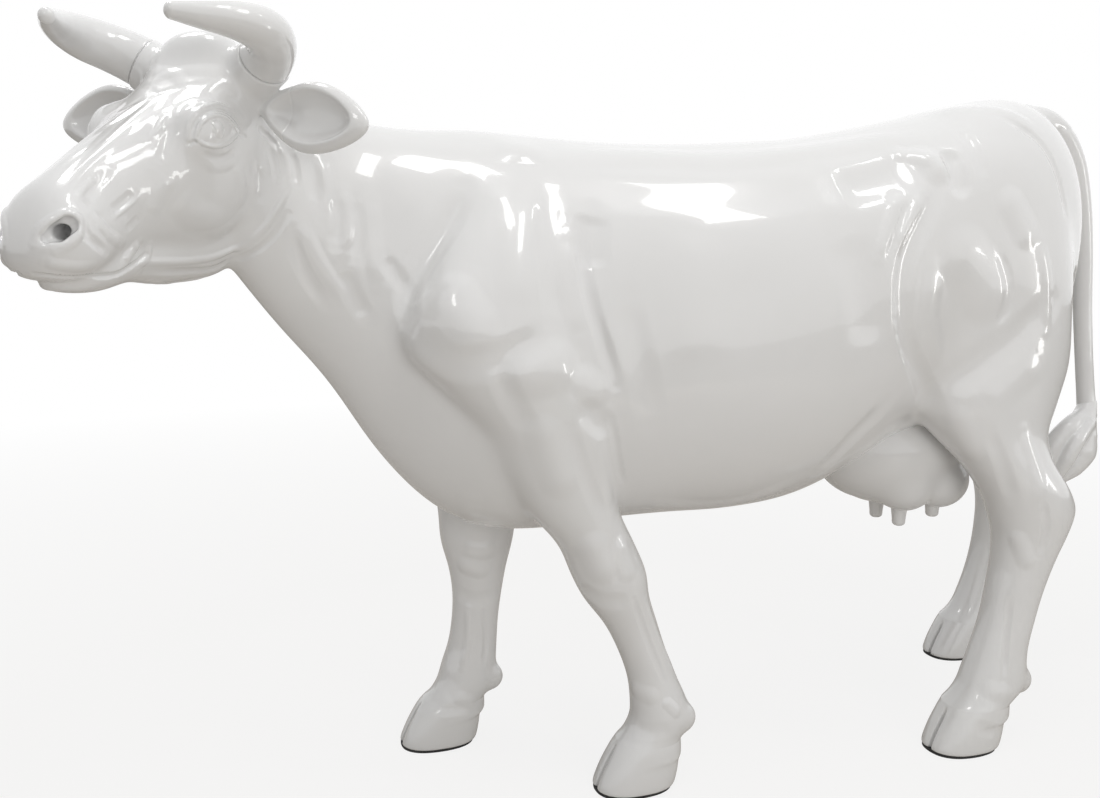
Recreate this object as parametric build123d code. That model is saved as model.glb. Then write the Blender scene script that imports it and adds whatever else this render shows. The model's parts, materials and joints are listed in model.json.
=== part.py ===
import os
from math import copysign, cos, pi, radians, sin

from build123d import *

# Life-size standing cow, a hollow glass-fibre statue on a welded steel frame.
# X runs from head to tail, the cow's left side faces -Y, Z is up. The shape is worked out from the withers,
# on the mid-plane and at ground level, and every piece is moved to the base centre at the end.

# Driving dimensions of the animal, millimetres
withers_to_hips = 1000.0
shoulder_height = 1000.0
hip_width = 500.0
leg_depth = 100.0
leg_breadth = 100.0
head_length = 530.0
head_breadth = 265.0
head_depth = 265.0
hoof_length = 180.0
hoof_breadth = 132.0
hoof_height = 105.0

# Mouldings
shell_wall = 7.0
leg_wall = 7.0
head_wall = 6.0
horn_root_radius = 47.0
ear_length = 215.0
ear_height = 128.0
ear_thickness = 40.0
eye_radius = 27.0
udder_wall = 6.0
tail_root_radius = 32.0
teat_radius = 17.0

# Steel frame and timber inside
spine_radius = 24.0
spine_wall = 3.0
cross_tube_radius = 21.0
post_radius = 17.0
bar_radius = 13.0
bulkhead_thickness = 18.0
bush_radius = 16.0
bush_length = 46.0
thread_radius = 6.0
thread_depth = 34.0
stud_radius = 8.0
stud_length = 90.0

# Feet
pad_thickness = 6.0
pad_inset = 4.0
fit_gap = 0.3

# Trunk and neck, cut across X. Each row: place along the back, top line, bottom line, half width, level of the
# widest point, sideways place of the centre, then the roundness of the upper and lower half (2 is an ellipse)
trunk_shares = [
    (-0.46, 1.402, 1.110, 0.172, 1.280, -0.260, 2.0, 2.0),
    (-0.40, 1.404, 1.055, 0.188, 1.250, -0.200, 2.0, 2.0),
    (-0.34, 1.400, 0.990, 0.200, 1.225, -0.150, 2.0, 2.0),
    (-0.25, 1.387, 0.882, 0.224, 1.160, -0.090, 2.0, 2.0),
    (-0.16, 1.376, 0.742, 0.264, 1.070, -0.040, 2.0, 2.0),
    (-0.06, 1.371, 0.628, 0.350, 0.970, -0.012, 2.0, 2.1),
    (0.04, 1.375, 0.566, 0.430, 0.920, 0.000, 2.0, 2.2),
    (0.16, 1.369, 0.550, 0.480, 0.880, 0.000, 2.0, 2.3),
    (0.30, 1.361, 0.560, 0.536, 0.880, 0.000, 2.1, 2.2),
    (0.45, 1.361, 0.564, 0.592, 0.900, 0.000, 2.2, 2.2),
    (0.60, 1.369, 0.563, 0.624, 0.920, 0.000, 2.3, 2.2),
    (0.75, 1.381, 0.580, 0.624, 0.960, 0.000, 2.4, 2.2),
    (0.88, 1.403, 0.625, 0.592, 1.020, 0.000, 2.5, 2.2),
    (1.02, 1.432, 0.690, 0.552, 1.120, 0.000, 2.6, 2.2),
    (1.16, 1.466, 0.720, 0.524, 1.180, 0.000, 2.5, 2.2),
    (1.30, 1.493, 0.760, 0.470, 1.180, 0.000, 2.3, 2.2),
]
# The rump rounds off after the last row: place along the back, then the size left there
rump_shares = [(1.37, 0.975), (1.44, 0.890), (1.50, 0.735), (1.54, 0.560), (1.565, 0.360), (1.575, 0.160)]
rump_top_share = 1.504
rump_bottom_share = 0.800
rump_half_width_share = 0.440
rump_level_share = 1.180
rump_roundness = (2.1, 2.2)

# Leg shells, cut across Z. Each row: height above the hoof, place along the back and sideways, half depth,
# half breadth
foreleg_left_shares = [
    (1.195, 0.120, -0.150, 0.40, 0.35),
    (1.115, 0.105, -0.230, 0.85, 0.65),
    (1.015, 0.075, -0.300, 1.30, 0.88),
    (0.915, 0.045, -0.336, 1.60, 1.02),
    (0.835, 0.055, -0.350, 1.68, 1.05),
    (0.755, 0.110, -0.356, 1.48, 1.00),
    (0.675, 0.153, -0.360, 1.18, 0.90),
    (0.595, 0.178, -0.358, 1.03, 0.82),
    (0.515, 0.212, -0.352, 0.90, 0.74),
    (0.435, 0.264, -0.344, 0.78, 0.68),
    (0.375, 0.290, -0.340, 0.78, 0.70),
    (0.325, 0.307, -0.336, 0.69, 0.64),
    (0.265, 0.340, -0.334, 0.56, 0.52),
    (0.195, 0.370, -0.332, 0.50, 0.47),
    (0.135, 0.393, -0.330, 0.52, 0.48),
    (0.085, 0.408, -0.330, 0.60, 0.56),
    (0.045, 0.412, -0.330, 0.64, 0.60),
    (0.000, 0.388, -0.326, 0.66, 0.58),
]
foreleg_right_shares = [
    (1.195, 0.100, 0.150, 0.40, 0.35),
    (1.115, 0.075, 0.230, 0.85, 0.65),
    (1.015, 0.030, 0.300, 1.30, 0.88),
    (0.915, -0.015, 0.336, 1.60, 1.02),
    (0.835, -0.010, 0.350, 1.68, 1.05),
    (0.755, 0.035, 0.356, 1.48, 1.00),
    (0.675, 0.068, 0.360, 1.18, 0.90),
    (0.595, 0.085, 0.358, 1.03, 0.82),
    (0.515, 0.095, 0.352, 0.95, 0.76),
    (0.435, 0.100, 0.346, 0.90, 0.73),
    (0.375, 0.098, 0.342, 0.84, 0.71),
    (0.305, 0.098, 0.340, 0.66, 0.60),
    (0.255, 0.097, 0.340, 0.58, 0.52),
    (0.185, 0.091, 0.340, 0.54, 0.48),
    (0.125, 0.084, 0.340, 0.57, 0.50),
    (0.075, 0.074, 0.340, 0.64, 0.56),
    (0.035, 0.066, 0.340, 0.68, 0.60),
    (0.000, 0.040, 0.336, 0.68, 0.58),
]
hindleg_left_shares = [
    (1.155, 1.210, -0.250, 1.85, 1.12),
    (1.015, 1.200, -0.276, 2.35, 1.33),
    (0.875, 1.205, -0.290, 2.40, 1.30),
    (0.765, 1.215, -0.310, 2.20, 1.22),
    (0.685, 1.210, -0.344, 1.85, 1.10),
    (0.615, 1.220, -0.380, 1.38, 0.96),
    (0.555, 1.250, -0.420, 1.10, 0.87),
    (0.495, 1.290, -0.450, 1.06, 0.84),
    (0.445, 1.312, -0.460, 1.05, 0.80),
    (0.395, 1.312, -0.464, 0.90, 0.72),
    (0.335, 1.298, -0.466, 0.74, 0.64),
    (0.265, 1.278, -0.468, 0.66, 0.58),
    (0.185, 1.258, -0.470, 0.63, 0.55),
    (0.115, 1.238, -0.472, 0.67, 0.57),
    (0.065, 1.228, -0.474, 0.76, 0.62),
    (0.035, 1.220, -0.476, 0.80, 0.64),
    (0.000, 1.182, -0.480, 0.76, 0.62),
]
hindleg_right_shares = [
    (1.155, 1.235, 0.250, 1.85, 1.12),
    (1.015, 1.260, 0.276, 2.35, 1.33),
    (0.875, 1.300, 0.290, 2.25, 1.30),
    (0.765, 1.370, 0.310, 1.85, 1.18),
    (0.685, 1.430, 0.344, 1.55, 1.05),
    (0.615, 1.490, 0.380, 1.25, 0.92),
    (0.555, 1.550, 0.410, 1.08, 0.86),
    (0.495, 1.605, 0.430, 1.04, 0.84),
    (0.445, 1.640, 0.440, 1.00, 0.80),
    (0.395, 1.655, 0.444, 0.88, 0.72),
    (0.335, 1.655, 0.446, 0.74, 0.64),
    (0.265, 1.645, 0.446, 0.66, 0.58),
    (0.185, 1.630, 0.446, 0.63, 0.55),
    (0.115, 1.615, 0.446, 0.67, 0.57),
    (0.065, 1.605, 0.446, 0.76, 0.62),
    (0.035, 1.595, 0.446, 0.80, 0.64),
    (0.000, 1.557, 0.448, 0.76, 0.62),
]
leg_roundness = 2.1

# Hoof centres on the ground, as shares of the same lengths
hoof_centre_shares = {
    "foreleg_left": (0.352, -0.324),
    "foreleg_right": (-0.004, 0.336),
    "hindleg_left": (1.140, -0.480),
    "hindleg_right": (1.515, 0.450),
}
# Hoof wall, cut across Z: height, set-back of the centre, length and breadth left
hoof_shares = [
    (0.00, 0.000, 0.98, 0.98),
    (0.20, 0.045, 0.96, 0.99),
    (0.47, 0.095, 0.88, 0.95),
    (0.74, 0.145, 0.80, 0.91),
    (1.00, 0.200, 0.72, 0.88),
]
hoof_roundness = 2.4
hoof_cleft_share = 0.06
hoof_cleft_depth_share = 0.40

# Head, cut across its own axis from the poll to the muzzle, in the head's own frame: along, top, bottom,
# half breadth, widest level, roundness above and below
head_shares = [
    (-0.080, -0.040, -0.480, 0.200, -0.260, 2.2, 2.0),
    (-0.050, 0.030, -0.640, 0.310, -0.260, 2.2, 2.0),
    (0.040, 0.080, -0.840, 0.380, -0.280, 2.3, 2.0),
    (0.160, 0.024, -0.980, 0.408, -0.340, 2.5, 2.1),
    (0.280, -0.012, -1.020, 0.424, -0.380, 2.5, 2.2),
    (0.400, -0.020, -0.980, 0.404, -0.400, 2.4, 2.2),
    (0.520, -0.012, -0.880, 0.344, -0.380, 2.2, 2.2),
    (0.640, -0.004, -0.740, 0.280, -0.340, 2.0, 2.2),
    (0.760, -0.004, -0.620, 0.250, -0.320, 2.0, 2.2),
    (0.860, -0.020, -0.580, 0.286, -0.320, 2.2, 2.3),
    (0.930, -0.064, -0.540, 0.304, -0.324, 2.4, 2.4),
    (0.980, -0.128, -0.470, 0.260, -0.320, 2.4, 2.4),
    (1.005, -0.200, -0.400, 0.160, -0.310, 2.3, 2.3),
    (1.014, -0.260, -0.340, 0.060, -0.304, 2.2, 2.2),
]
# Lower jaw in the same frame: along, top, bottom, half breadth
jaw_shares = [
    (0.080, -0.480, -1.080, 0.180),
    (0.200, -0.520, -1.200, 0.230),
    (0.320, -0.560, -1.224, 0.250),
    (0.440, -0.520, -1.172, 0.240),
    (0.540, -0.480, -1.060, 0.220),
    (0.640, -0.440, -0.944, 0.200),
    (0.740, -0.400, -0.792, 0.190),
    (0.820, -0.400, -0.720, 0.208),
    (0.880, -0.400, -0.672, 0.220),
    (0.930, -0.400, -0.592, 0.196),
    (0.964, -0.400, -0.500, 0.120),
]
jaw_roundness = 2.2
# Head placing: the poll, and how far the head turns left, dips and rolls to its left
poll_shares = (-0.449, -0.252, 1.474)
head_turn = 49.9
head_dip = 33.85
head_roll = 3.2
head_middle_share = 0.46

# Left horn in the head's frame, along, sideways, outwards, and its thickness; the right one mirrors it
horn_shares = [
    (0.050, 0.300, -0.160, 1.00),
    (0.036, 0.480, -0.040, 0.96),
    (0.040, 0.572, 0.072, 0.90),
    (0.076, 0.596, 0.164, 0.81),
    (0.148, 0.572, 0.268, 0.64),
    (0.236, 0.532, 0.376, 0.48),
    (0.310, 0.492, 0.464, 0.34),
    (0.330, 0.480, 0.490, 0.22),
]
# Left ear in the head's frame: root and tip, and the way its cup faces
ear_root_share = (0.100, 0.500, -0.300)
ear_tip_share = (0.132, 1.216, -0.356)
ear_facing_shares = (0.765, 0.010, 0.643)
ear_cup_share = 0.80
ear_cup_offset_share = 0.30
eye_share = (0.344, 0.368, -0.208)

# Tail, down its middle line: along the back, sideways, height, thickness
tail_shares = [
    (1.440, 0.000, 1.458, 1.00),
    (1.500, 0.000, 1.452, 1.00),
    (1.556, 0.000, 1.418, 0.97),
    (1.602, 0.000, 1.350, 0.92),
    (1.632, 0.000, 1.250, 0.84),
    (1.652, 0.000, 1.130, 0.74),
    (1.664, 0.000, 1.000, 0.66),
    (1.674, -0.010, 0.880, 0.60),
    (1.684, -0.020, 0.780, 0.58),
    (1.690, -0.030, 0.730, 0.61),
]
switch_shares = [
    (1.685, -0.040, 0.700, 0.95),
    (1.664, -0.060, 0.664, 1.60),
    (1.638, -0.080, 0.625, 2.00),
    (1.614, -0.100, 0.588, 1.70),
    (1.594, -0.120, 0.554, 1.05),
    (1.582, -0.136, 0.532, 0.45),
]

# Udder middle and half sizes, and the four teats: along, sideways, height of the tip
udder_share = (1.090, 0.000, 0.665)
udder_half_shares = (0.195, 0.280, 0.135)
teat_shares = [(1.093, -0.096, 0.479), (1.096, 0.088, 0.477), (1.191, -0.092, 0.493), (1.214, 0.106, 0.493)]
teat_root_share = 0.600
teat_taper_share = 0.75

# Frame inside: places along the back and in height
neck_joint_share = -0.12
neck_bulkhead_share = -0.11
front_bulkhead_share = 0.32
rear_bulkhead_share = 1.14
spine_start_share = -0.17
spine_end_share = 1.34
spine_level_share = 1.20
neck_stay_end_share = (-0.400, -0.176, 1.350)
# Each leg with the rows that its bar follows
leg_shares = {
    "foreleg_left": (foreleg_left_shares, (6, 9, 11, 14, 16)),
    "foreleg_right": (foreleg_right_shares, (6, 9, 11, 14, 16)),
    "hindleg_left": (hindleg_left_shares, (3, 6, 8, 11, 13, 15)),
    "hindleg_right": (hindleg_right_shares, (3, 6, 8, 11, 13, 15)),
}
leg_pairs = {"front": ("foreleg_left", "foreleg_right"), "rear": ("hindleg_left", "hindleg_right")}


def at(along, side, up):
    # A place on the animal from its shares
    return Vector(along * withers_to_hips, side * hip_width, up * shoulder_height)


def head_axes():
    # The head's own directions: towards the muzzle, to its left, and out of its forehead
    turn, dip, roll = radians(head_turn), radians(head_dip), radians(head_roll)
    forward = Vector(-cos(turn), -sin(turn), 0)
    left = Vector(sin(turn), -cos(turn), 0)
    up = Vector(0, 0, 1)
    axis = forward * cos(dip) - up * sin(dip)
    out = forward * sin(dip) + up * cos(dip)
    return axis, left * cos(roll) - out * sin(roll), out * cos(roll) + left * sin(roll)


def on_head(along, sideways, outwards):
    # A place on the head from its shares
    axis, left, out = head_axes()
    step = axis * (along * head_length) + left * (sideways * head_breadth) + out * (outwards * head_depth)
    return at(*poll_shares) + step


def oval(plane, half_width, rise, drop, above, below, points=14):
    # A closed section whose upper and lower halves are superellipses
    ring = []
    for step in range(points):
        c, s = cos(2 * pi * step / points), sin(2 * pi * step / points)
        power, height = (above, rise) if s >= 0 else (below, drop)
        across = half_width * copysign(abs(c) ** (2 / power), c)
        ring.append((across, height * copysign(abs(s) ** (2 / power), s)))
    return Face(Wire(plane.from_local_coords(Spline(*ring, periodic=True))))


def loft_parts(sections):
    # A loft with its side face, its first end and its last end
    solid = loft(sections)
    faces = solid.faces()
    side = max(faces, key=lambda face: face.area)
    ends = [face for face in faces if face is not side]
    ends.sort(key=lambda face: (face.center() - sections[0].center()).length)
    return solid, side, ends[0], ends[1]


def moulding(outer, inner, through=False):
    # The wall between two lofts, open at the first end, and at the last end where it goes through
    _, outer_side, outer_first, outer_last = outer
    _, inner_side, inner_first, inner_last = inner
    mouth = Face(outer_first.outer_wire(), [inner_first.outer_wire()])
    if through:
        ends = [Face(outer_last.outer_wire(), [inner_last.outer_wire()])]
    else:
        ends = [outer_last, inner_last]
    return Solid(Shell([outer_side, inner_side, mouth, *ends]))


def main_solid(shape):
    # The largest solid that a cut leaves
    return max(shape.solids(), key=lambda solid: solid.volume)


def bar(start, end, radius, bore=0):
    # A round bar or tube between two places
    plane = Plane(origin=start, z_dir=end - start)
    base = (Align.CENTER, Align.CENTER, Align.MIN)
    solid = plane * Cylinder(radius, (end - start).length, align=base)
    if bore:
        solid -= plane * Cylinder(bore, (end - start).length, align=base)
    return solid


def bent_bar(places, radius):
    # A bar along straight runs, with rounded corners
    section = Plane(origin=places[0], z_dir=places[1] - places[0]) * Circle(radius)
    return sweep(section, path=Polyline(*places), transition=Transition.ROUND)


def round_sections(rows, radius, place):
    # Round sections square to a route, from rows that end with the thickness there
    places = [place(*row[:-1]) for row in rows]
    sections = []
    for number, middle in enumerate(places):
        heading = places[min(number + 1, len(places) - 1)] - places[max(number - 1, 0)]
        sections.append(Plane(origin=middle, z_dir=heading) * Circle(radius * rows[number][-1]).face())
    return sections


def trunk_sections(inset=0):
    # Trunk and neck sections, drawn in by the wall
    rows = [(*row, 0) for row in trunk_shares]
    for along, left in rump_shares:
        top = rump_level_share + (rump_top_share - rump_level_share) * left
        bottom = rump_level_share - (rump_level_share - rump_bottom_share) * left
        half = rump_half_width_share * left
        rows.append((along, top, bottom, half, rump_level_share, 0, *rump_roundness, inset))
    sections = []
    for along, top, bottom, half, level, side, above, below, back in rows:
        plane = Plane(origin=at(along, side, level) - Vector(back, 0, 0), x_dir=(0, 1, 0), z_dir=(1, 0, 0))
        rise, drop = (top - level) * shoulder_height - inset, (level - bottom) * shoulder_height - inset
        sections.append(oval(plane, half * hip_width - inset, rise, drop, above, below))
    return sections


def leg_place(row):
    # The middle of a leg at one of its rows
    up, along, side = row[:3]
    return at(along, side, up) + Vector(0, 0, hoof_height)


def leg_sections(rows, inset=0):
    # Leg sections from the top down, drawn in by the wall
    sections = []
    for row in rows:
        half_depth, half_breadth = row[3] * leg_depth - inset, row[4] * leg_breadth - inset
        plane = Plane(origin=leg_place(row))
        sections.append(oval(plane, half_depth, half_breadth, half_breadth, leg_roundness, leg_roundness))
    return sections


def head_plane(along, level, inset):
    # A section plane across the head, drawn in towards the head's middle by the wall
    axis, left, _ = head_axes()
    shift = inset if along < head_middle_share else -inset
    return Plane(origin=on_head(along, 0, level) + axis * shift, x_dir=left, z_dir=axis)


def head_solid(inset=0):
    # Skull and face with the lower jaw, drawn in by the wall
    skull = []
    for along, top, bottom, half, level, above, below in head_shares:
        rise, drop = (top - level) * head_depth - inset, (level - bottom) * head_depth - inset
        plane = head_plane(along, level, inset)
        skull.append(oval(plane, half * head_breadth - inset, rise, drop, above, below))
    jaw = []
    for along, top, bottom, half in jaw_shares:
        rise = (top - bottom) / 2 * head_depth - inset
        plane = head_plane(along, (top + bottom) / 2, inset)
        jaw.append(oval(plane, half * head_breadth - inset, rise, rise, jaw_roundness, jaw_roundness))
    return loft(skull) + loft(jaw)


def on_side(side, along, sideways, outwards):
    # A place on the head, mirrored for its right side
    return on_head(along, side * sideways, outwards)


def eye_ball(side, gap=0):
    return Pos(*on_side(side, *eye_share)) * Sphere(eye_radius + gap)


def horn_solid(side):
    sections = round_sections(horn_shares, horn_root_radius, lambda *place: on_side(side, *place))
    return loft(sections)


def horn_stud(side, gap=0):
    # The stud that ties a horn to the skull
    first, second = (on_side(side, *row[:-1]) for row in horn_shares[:2])
    return Plane(origin=second, z_dir=second - first) * Cylinder(stud_radius + gap, stud_length)


def lens(length, height, thickness):
    return scale(Sphere(1), by=(length / 2, height / 2, thickness / 2))


def ear_solid(side):
    # A thick leaf with a hollowed front
    axis, left, out = head_axes()
    root, tip = on_side(side, *ear_root_share), on_side(side, *ear_tip_share)
    facing = axis * ear_facing_shares[0] + left * (side * ear_facing_shares[1]) + out * ear_facing_shares[2]
    heading = (tip - root).normalized()
    plane = Plane(origin=tip - heading * (ear_length / 2), x_dir=heading, z_dir=facing)
    leaf = lens(ear_length, ear_height, ear_thickness)
    cup = lens(ear_cup_share * ear_length, ear_cup_share * ear_height, ear_thickness)
    return plane * (leaf - Pos(0, 0, ear_cup_offset_share * ear_thickness) * cup)


def spine_ends():
    return at(spine_start_share, 0, spine_level_share), at(spine_end_share, 0, spine_level_share)


def neck_stay_ends():
    return spine_ends()[0], at(*neck_stay_end_share)


def head_pieces(outer, inner):
    # Shell with its sockets and holes, then what sits in them
    stay = bar(*neck_stay_ends(), spine_radius + fit_gap)
    holes = [stay]
    for side in (1, -1):
        holes += [eye_ball(side, fit_gap), horn_stud(side, fit_gap)]
    pieces = {"head_shell": main_solid(outer - inner - holes)}
    for name, side in (("left", 1), ("right", -1)):
        horn = horn_solid(side)
        pieces["horn_" + name] = main_solid(horn - [outer, horn_stud(side, fit_gap)])
        pieces["horn_stud_" + name] = horn_stud(side)
        pieces["ear_" + name] = main_solid(ear_solid(side) - [outer, horn])
        pieces["eye_" + name] = eye_ball(side)
    return pieces


def hoof_place(leg):
    return at(*hoof_centre_shares[leg], 0)


def hoof_solid(leg):
    # Hoof wall from the sole pad up to the leg, with the cleft between its toes
    sections = []
    for level, back, length, breadth in hoof_shares:
        up = pad_thickness + level * (hoof_height - pad_thickness)
        plane = Plane(origin=hoof_place(leg) + Vector(back * hoof_length, 0, up))
        half_length, half_breadth = length * hoof_length / 2, breadth * hoof_breadth / 2
        sections.append(oval(plane, half_length, half_breadth, half_breadth, hoof_roundness, hoof_roundness))
    depth, width = (hoof_cleft_depth_share + 0.5) * hoof_length, hoof_cleft_share * hoof_breadth
    cleft = Box(depth, width, 4 * hoof_height, align=(Align.MIN, Align.CENTER, Align.CENTER))
    return loft(sections) - Pos(*(hoof_place(leg) - Vector(hoof_length, 0, 0))) * cleft


def pad_solid(leg):
    # The rubber pad under a hoof, a little smaller all round
    _, _, length, breadth = hoof_shares[0]
    half_length = length * hoof_length / 2 - pad_inset
    half_breadth = breadth * hoof_breadth / 2 - pad_inset
    plane = Plane(origin=hoof_place(leg))
    outline = oval(plane, half_length, half_breadth, half_breadth, hoof_roundness, hoof_roundness)
    return extrude(outline, pad_thickness, dir=(0, 0, 1))


def foot_cylinder(leg, radius, length):
    # A round shape standing on the ground in the middle of a hoof
    return Pos(*hoof_place(leg)) * Cylinder(radius, length, align=(Align.CENTER, Align.CENTER, Align.MIN))


def leg_bar(leg, gap=0):
    # The bar follows the leg's middle line down into the foot bush
    rows, picks = leg_shares[leg]
    foot = hoof_place(leg) + Vector(0, 0, bush_length - bar_radius)
    return bent_bar([*(leg_place(rows[pick]) for pick in picks), foot], bar_radius + gap)


def cross_tube_ends(end):
    # The middles of the two legs at their bars' top rows
    ends = []
    for leg in leg_pairs[end]:
        rows, picks = leg_shares[leg]
        ends.append(leg_place(rows[picks[0]]))
    return ends


def leg_pieces(leg, cross_tube, trunk_outer):
    # Shell, hoof, pad, bush and bar of one leg
    rows = leg_shares[leg][0]
    shell = moulding(loft_parts(leg_sections(rows)), loft_parts(leg_sections(rows, leg_wall)), through=True)
    bush_space = foot_cylinder(leg, bush_radius + fit_gap, bush_length)
    bush = foot_cylinder(leg, bush_radius, bush_length)
    return {
        leg: main_solid(shell - trunk_outer),
        leg + "_hoof": main_solid(hoof_solid(leg) - [leg_bar(leg, fit_gap), bush_space]),
        leg + "_pad": pad_solid(leg) - bush_space,
        leg + "_bush": bush - foot_cylinder(leg, thread_radius, thread_depth),
        leg + "_bar": main_solid(leg_bar(leg) - [cross_tube, bush]),
    }


def trunk_pieces(wall, holes, head_outer):
    # The trunk in two halves, and the neck that carries the head
    reach = 4 * withers_to_hips
    joint = neck_joint_share * withers_to_hips
    body = wall & Pos(joint, 0, 0) * Box(reach, reach, reach, align=(Align.MIN, Align.CENTER, Align.CENTER))
    neck = wall & Pos(joint, 0, 0) * Box(reach, reach, reach, align=(Align.MAX, Align.CENTER, Align.CENTER))
    pieces = {"neck_shell": main_solid(neck - head_outer)}
    for name, align in (("left", Align.MAX), ("right", Align.MIN)):
        half = body & Box(reach, reach, reach, align=(Align.CENTER, align, Align.CENTER))
        pieces["trunk_" + name] = main_solid(half - holes)
    return pieces


def frame_pieces(trunk_inner, head_inner):
    # Spine, cross tubes, posts and neck stay, with the boards that carry them
    spine = bar(*spine_ends(), spine_radius)
    stay_start, stay_end = neck_stay_ends()
    pieces = {"spine_tube": bar(*spine_ends(), spine_radius, spine_radius - spine_wall)}
    pieces["neck_stay"] = main_solid(bar(stay_start, stay_end, spine_radius, spine_radius - spine_wall) - spine)
    for end in leg_pairs:
        left, right = cross_tube_ends(end)
        tube = bar(left, right, cross_tube_radius)
        middle = (left + right) / 2
        top = Vector(middle.X, 0, spine_level_share * shoulder_height)
        post = bar(Vector(middle.X, 0, middle.Z), top, post_radius)
        pieces[end + "_cross_tube"] = tube
        pieces[end + "_post"] = main_solid(post - [tube, spine])
    hole = bar(*spine_ends(), spine_radius + fit_gap)
    reach = 4 * withers_to_hips
    board = Box(bulkhead_thickness, reach, reach, align=(Align.MIN, Align.CENTER, Align.CENTER))
    boards = {"neck": neck_bulkhead_share, "front": front_bulkhead_share, "rear": rear_bulkhead_share}
    for name, along in boards.items():
        place = Pos(along * withers_to_hips, 0, 0)
        pieces[name + "_bulkhead"] = main_solid((trunk_inner & place * board) - hole)
    head_board = Box(reach, reach, bulkhead_thickness, align=(Align.CENTER, Align.CENTER, Align.MIN))
    seat = Plane(origin=stay_end, z_dir=stay_end - stay_start)
    pieces["head_bulkhead"] = main_solid(head_inner & seat * head_board)
    return pieces


def udder_solid(inset=0):
    half_length, half_breadth, half_height = udder_half_shares
    sizes = (half_length * withers_to_hips, half_breadth * hip_width, half_height * shoulder_height)
    return Pos(*at(*udder_share)) * scale(Sphere(1), by=tuple(size - inset for size in sizes))


def teat_solid(tip_share):
    # A tapered teat with a ball end, hanging from inside the udder
    along, side, level = tip_share
    tip_radius = teat_taper_share * teat_radius
    tip = at(along, side, level) + Vector(0, 0, tip_radius)
    length = (at(along, side, teat_root_share) - tip).length
    cone = Cone(tip_radius, teat_radius, length, align=(Align.CENTER, Align.CENTER, Align.MIN))
    return main_solid(Pos(*tip) * (cone + Sphere(tip_radius)) - udder_solid())


def rear_pieces(trunk_outer):
    # Udder, teats, tail and tail switch
    thighs = [loft(leg_sections(leg_shares[leg][0])) for leg in leg_pairs["rear"]]
    udder = udder_solid() - udder_solid(udder_wall) - [trunk_outer, *thighs]
    route = round_sections([*tail_shares, *switch_shares], tail_root_radius, at)
    joint_row = len(tail_shares)
    return {
        "udder": main_solid(udder),
        "teats": Compound(children=[teat_solid(tip_share) for tip_share in teat_shares]),
        "tail": main_solid(loft(route[:joint_row]) - trunk_outer),
        "tail_switch": loft(route[joint_row - 1:]),
    }


def make_pieces():
    trunk_outer, trunk_inner = loft_parts(trunk_sections()), loft_parts(trunk_sections(shell_wall))
    head_outer, head_inner = head_solid(), head_solid(head_wall)
    pieces = frame_pieces(trunk_inner[0], head_inner)
    holes = []
    for end, pair in leg_pairs.items():
        holes.append(bar(*cross_tube_ends(end), cross_tube_radius + fit_gap))
        for leg in pair:
            pieces.update(leg_pieces(leg, pieces[end + "_cross_tube"], trunk_outer[0]))
            holes.append(leg_bar(leg, fit_gap))
    pieces.update(trunk_pieces(moulding(trunk_outer, trunk_inner), holes, head_outer))
    pieces.update(head_pieces(head_outer, head_inner))
    pieces.update(rear_pieces(trunk_outer[0]))
    return pieces


def main():
    pieces = make_pieces()
    boxes = [piece.bounding_box() for piece in pieces.values()]
    low = Vector(*(min(getattr(box.min, axis) for box in boxes) for axis in "XYZ"))
    high = Vector(*(max(getattr(box.max, axis) for box in boxes) for axis in "XYZ"))
    shift = Vector(-(low.X + high.X) / 2, -(low.Y + high.Y) / 2, -low.Z)
    print("withers on the ground:", shift, "overall:", high - low)
    for leg in leg_shares:
        print(leg, "foot:", hoof_place(leg) + shift)
    os.makedirs("parts", exist_ok=True)
    for name, piece in pieces.items():
        export_step(Pos(*shift) * piece, f"parts/{name}.step")


if __name__ == "__main__":
    main()
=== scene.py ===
import json
import math

import bmesh
import bpy
import numpy as np
from mathutils import Euler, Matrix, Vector

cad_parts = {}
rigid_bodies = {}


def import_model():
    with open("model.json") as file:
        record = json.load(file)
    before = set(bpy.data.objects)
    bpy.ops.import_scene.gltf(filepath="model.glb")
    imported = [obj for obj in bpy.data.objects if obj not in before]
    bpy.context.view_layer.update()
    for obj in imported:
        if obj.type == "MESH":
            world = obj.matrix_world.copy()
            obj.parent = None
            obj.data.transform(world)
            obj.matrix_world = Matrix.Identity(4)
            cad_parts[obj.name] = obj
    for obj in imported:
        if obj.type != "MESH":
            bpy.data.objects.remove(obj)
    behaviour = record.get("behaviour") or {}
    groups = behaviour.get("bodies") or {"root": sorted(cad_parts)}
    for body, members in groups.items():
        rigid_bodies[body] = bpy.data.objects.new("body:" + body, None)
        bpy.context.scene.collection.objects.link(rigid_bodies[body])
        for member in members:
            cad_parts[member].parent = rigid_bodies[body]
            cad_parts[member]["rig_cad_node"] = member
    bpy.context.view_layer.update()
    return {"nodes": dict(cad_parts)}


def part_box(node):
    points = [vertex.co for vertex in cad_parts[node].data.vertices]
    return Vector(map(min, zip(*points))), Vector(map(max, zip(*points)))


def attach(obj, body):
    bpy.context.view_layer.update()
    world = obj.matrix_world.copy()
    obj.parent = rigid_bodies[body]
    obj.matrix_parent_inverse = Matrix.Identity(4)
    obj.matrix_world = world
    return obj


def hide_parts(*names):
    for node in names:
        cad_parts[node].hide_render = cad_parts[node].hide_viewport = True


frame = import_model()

# Glossy white cow statue. The shape is worked out in metres from the withers: x runs to the tail, the cow's
# left side faces -y, z is up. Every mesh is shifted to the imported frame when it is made.
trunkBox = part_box("trunk_left")
trunkStart = -0.12
withers = np.array([trunkBox[0][0] - trunkStart, trunkBox[1][1], 0.0])

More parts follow.
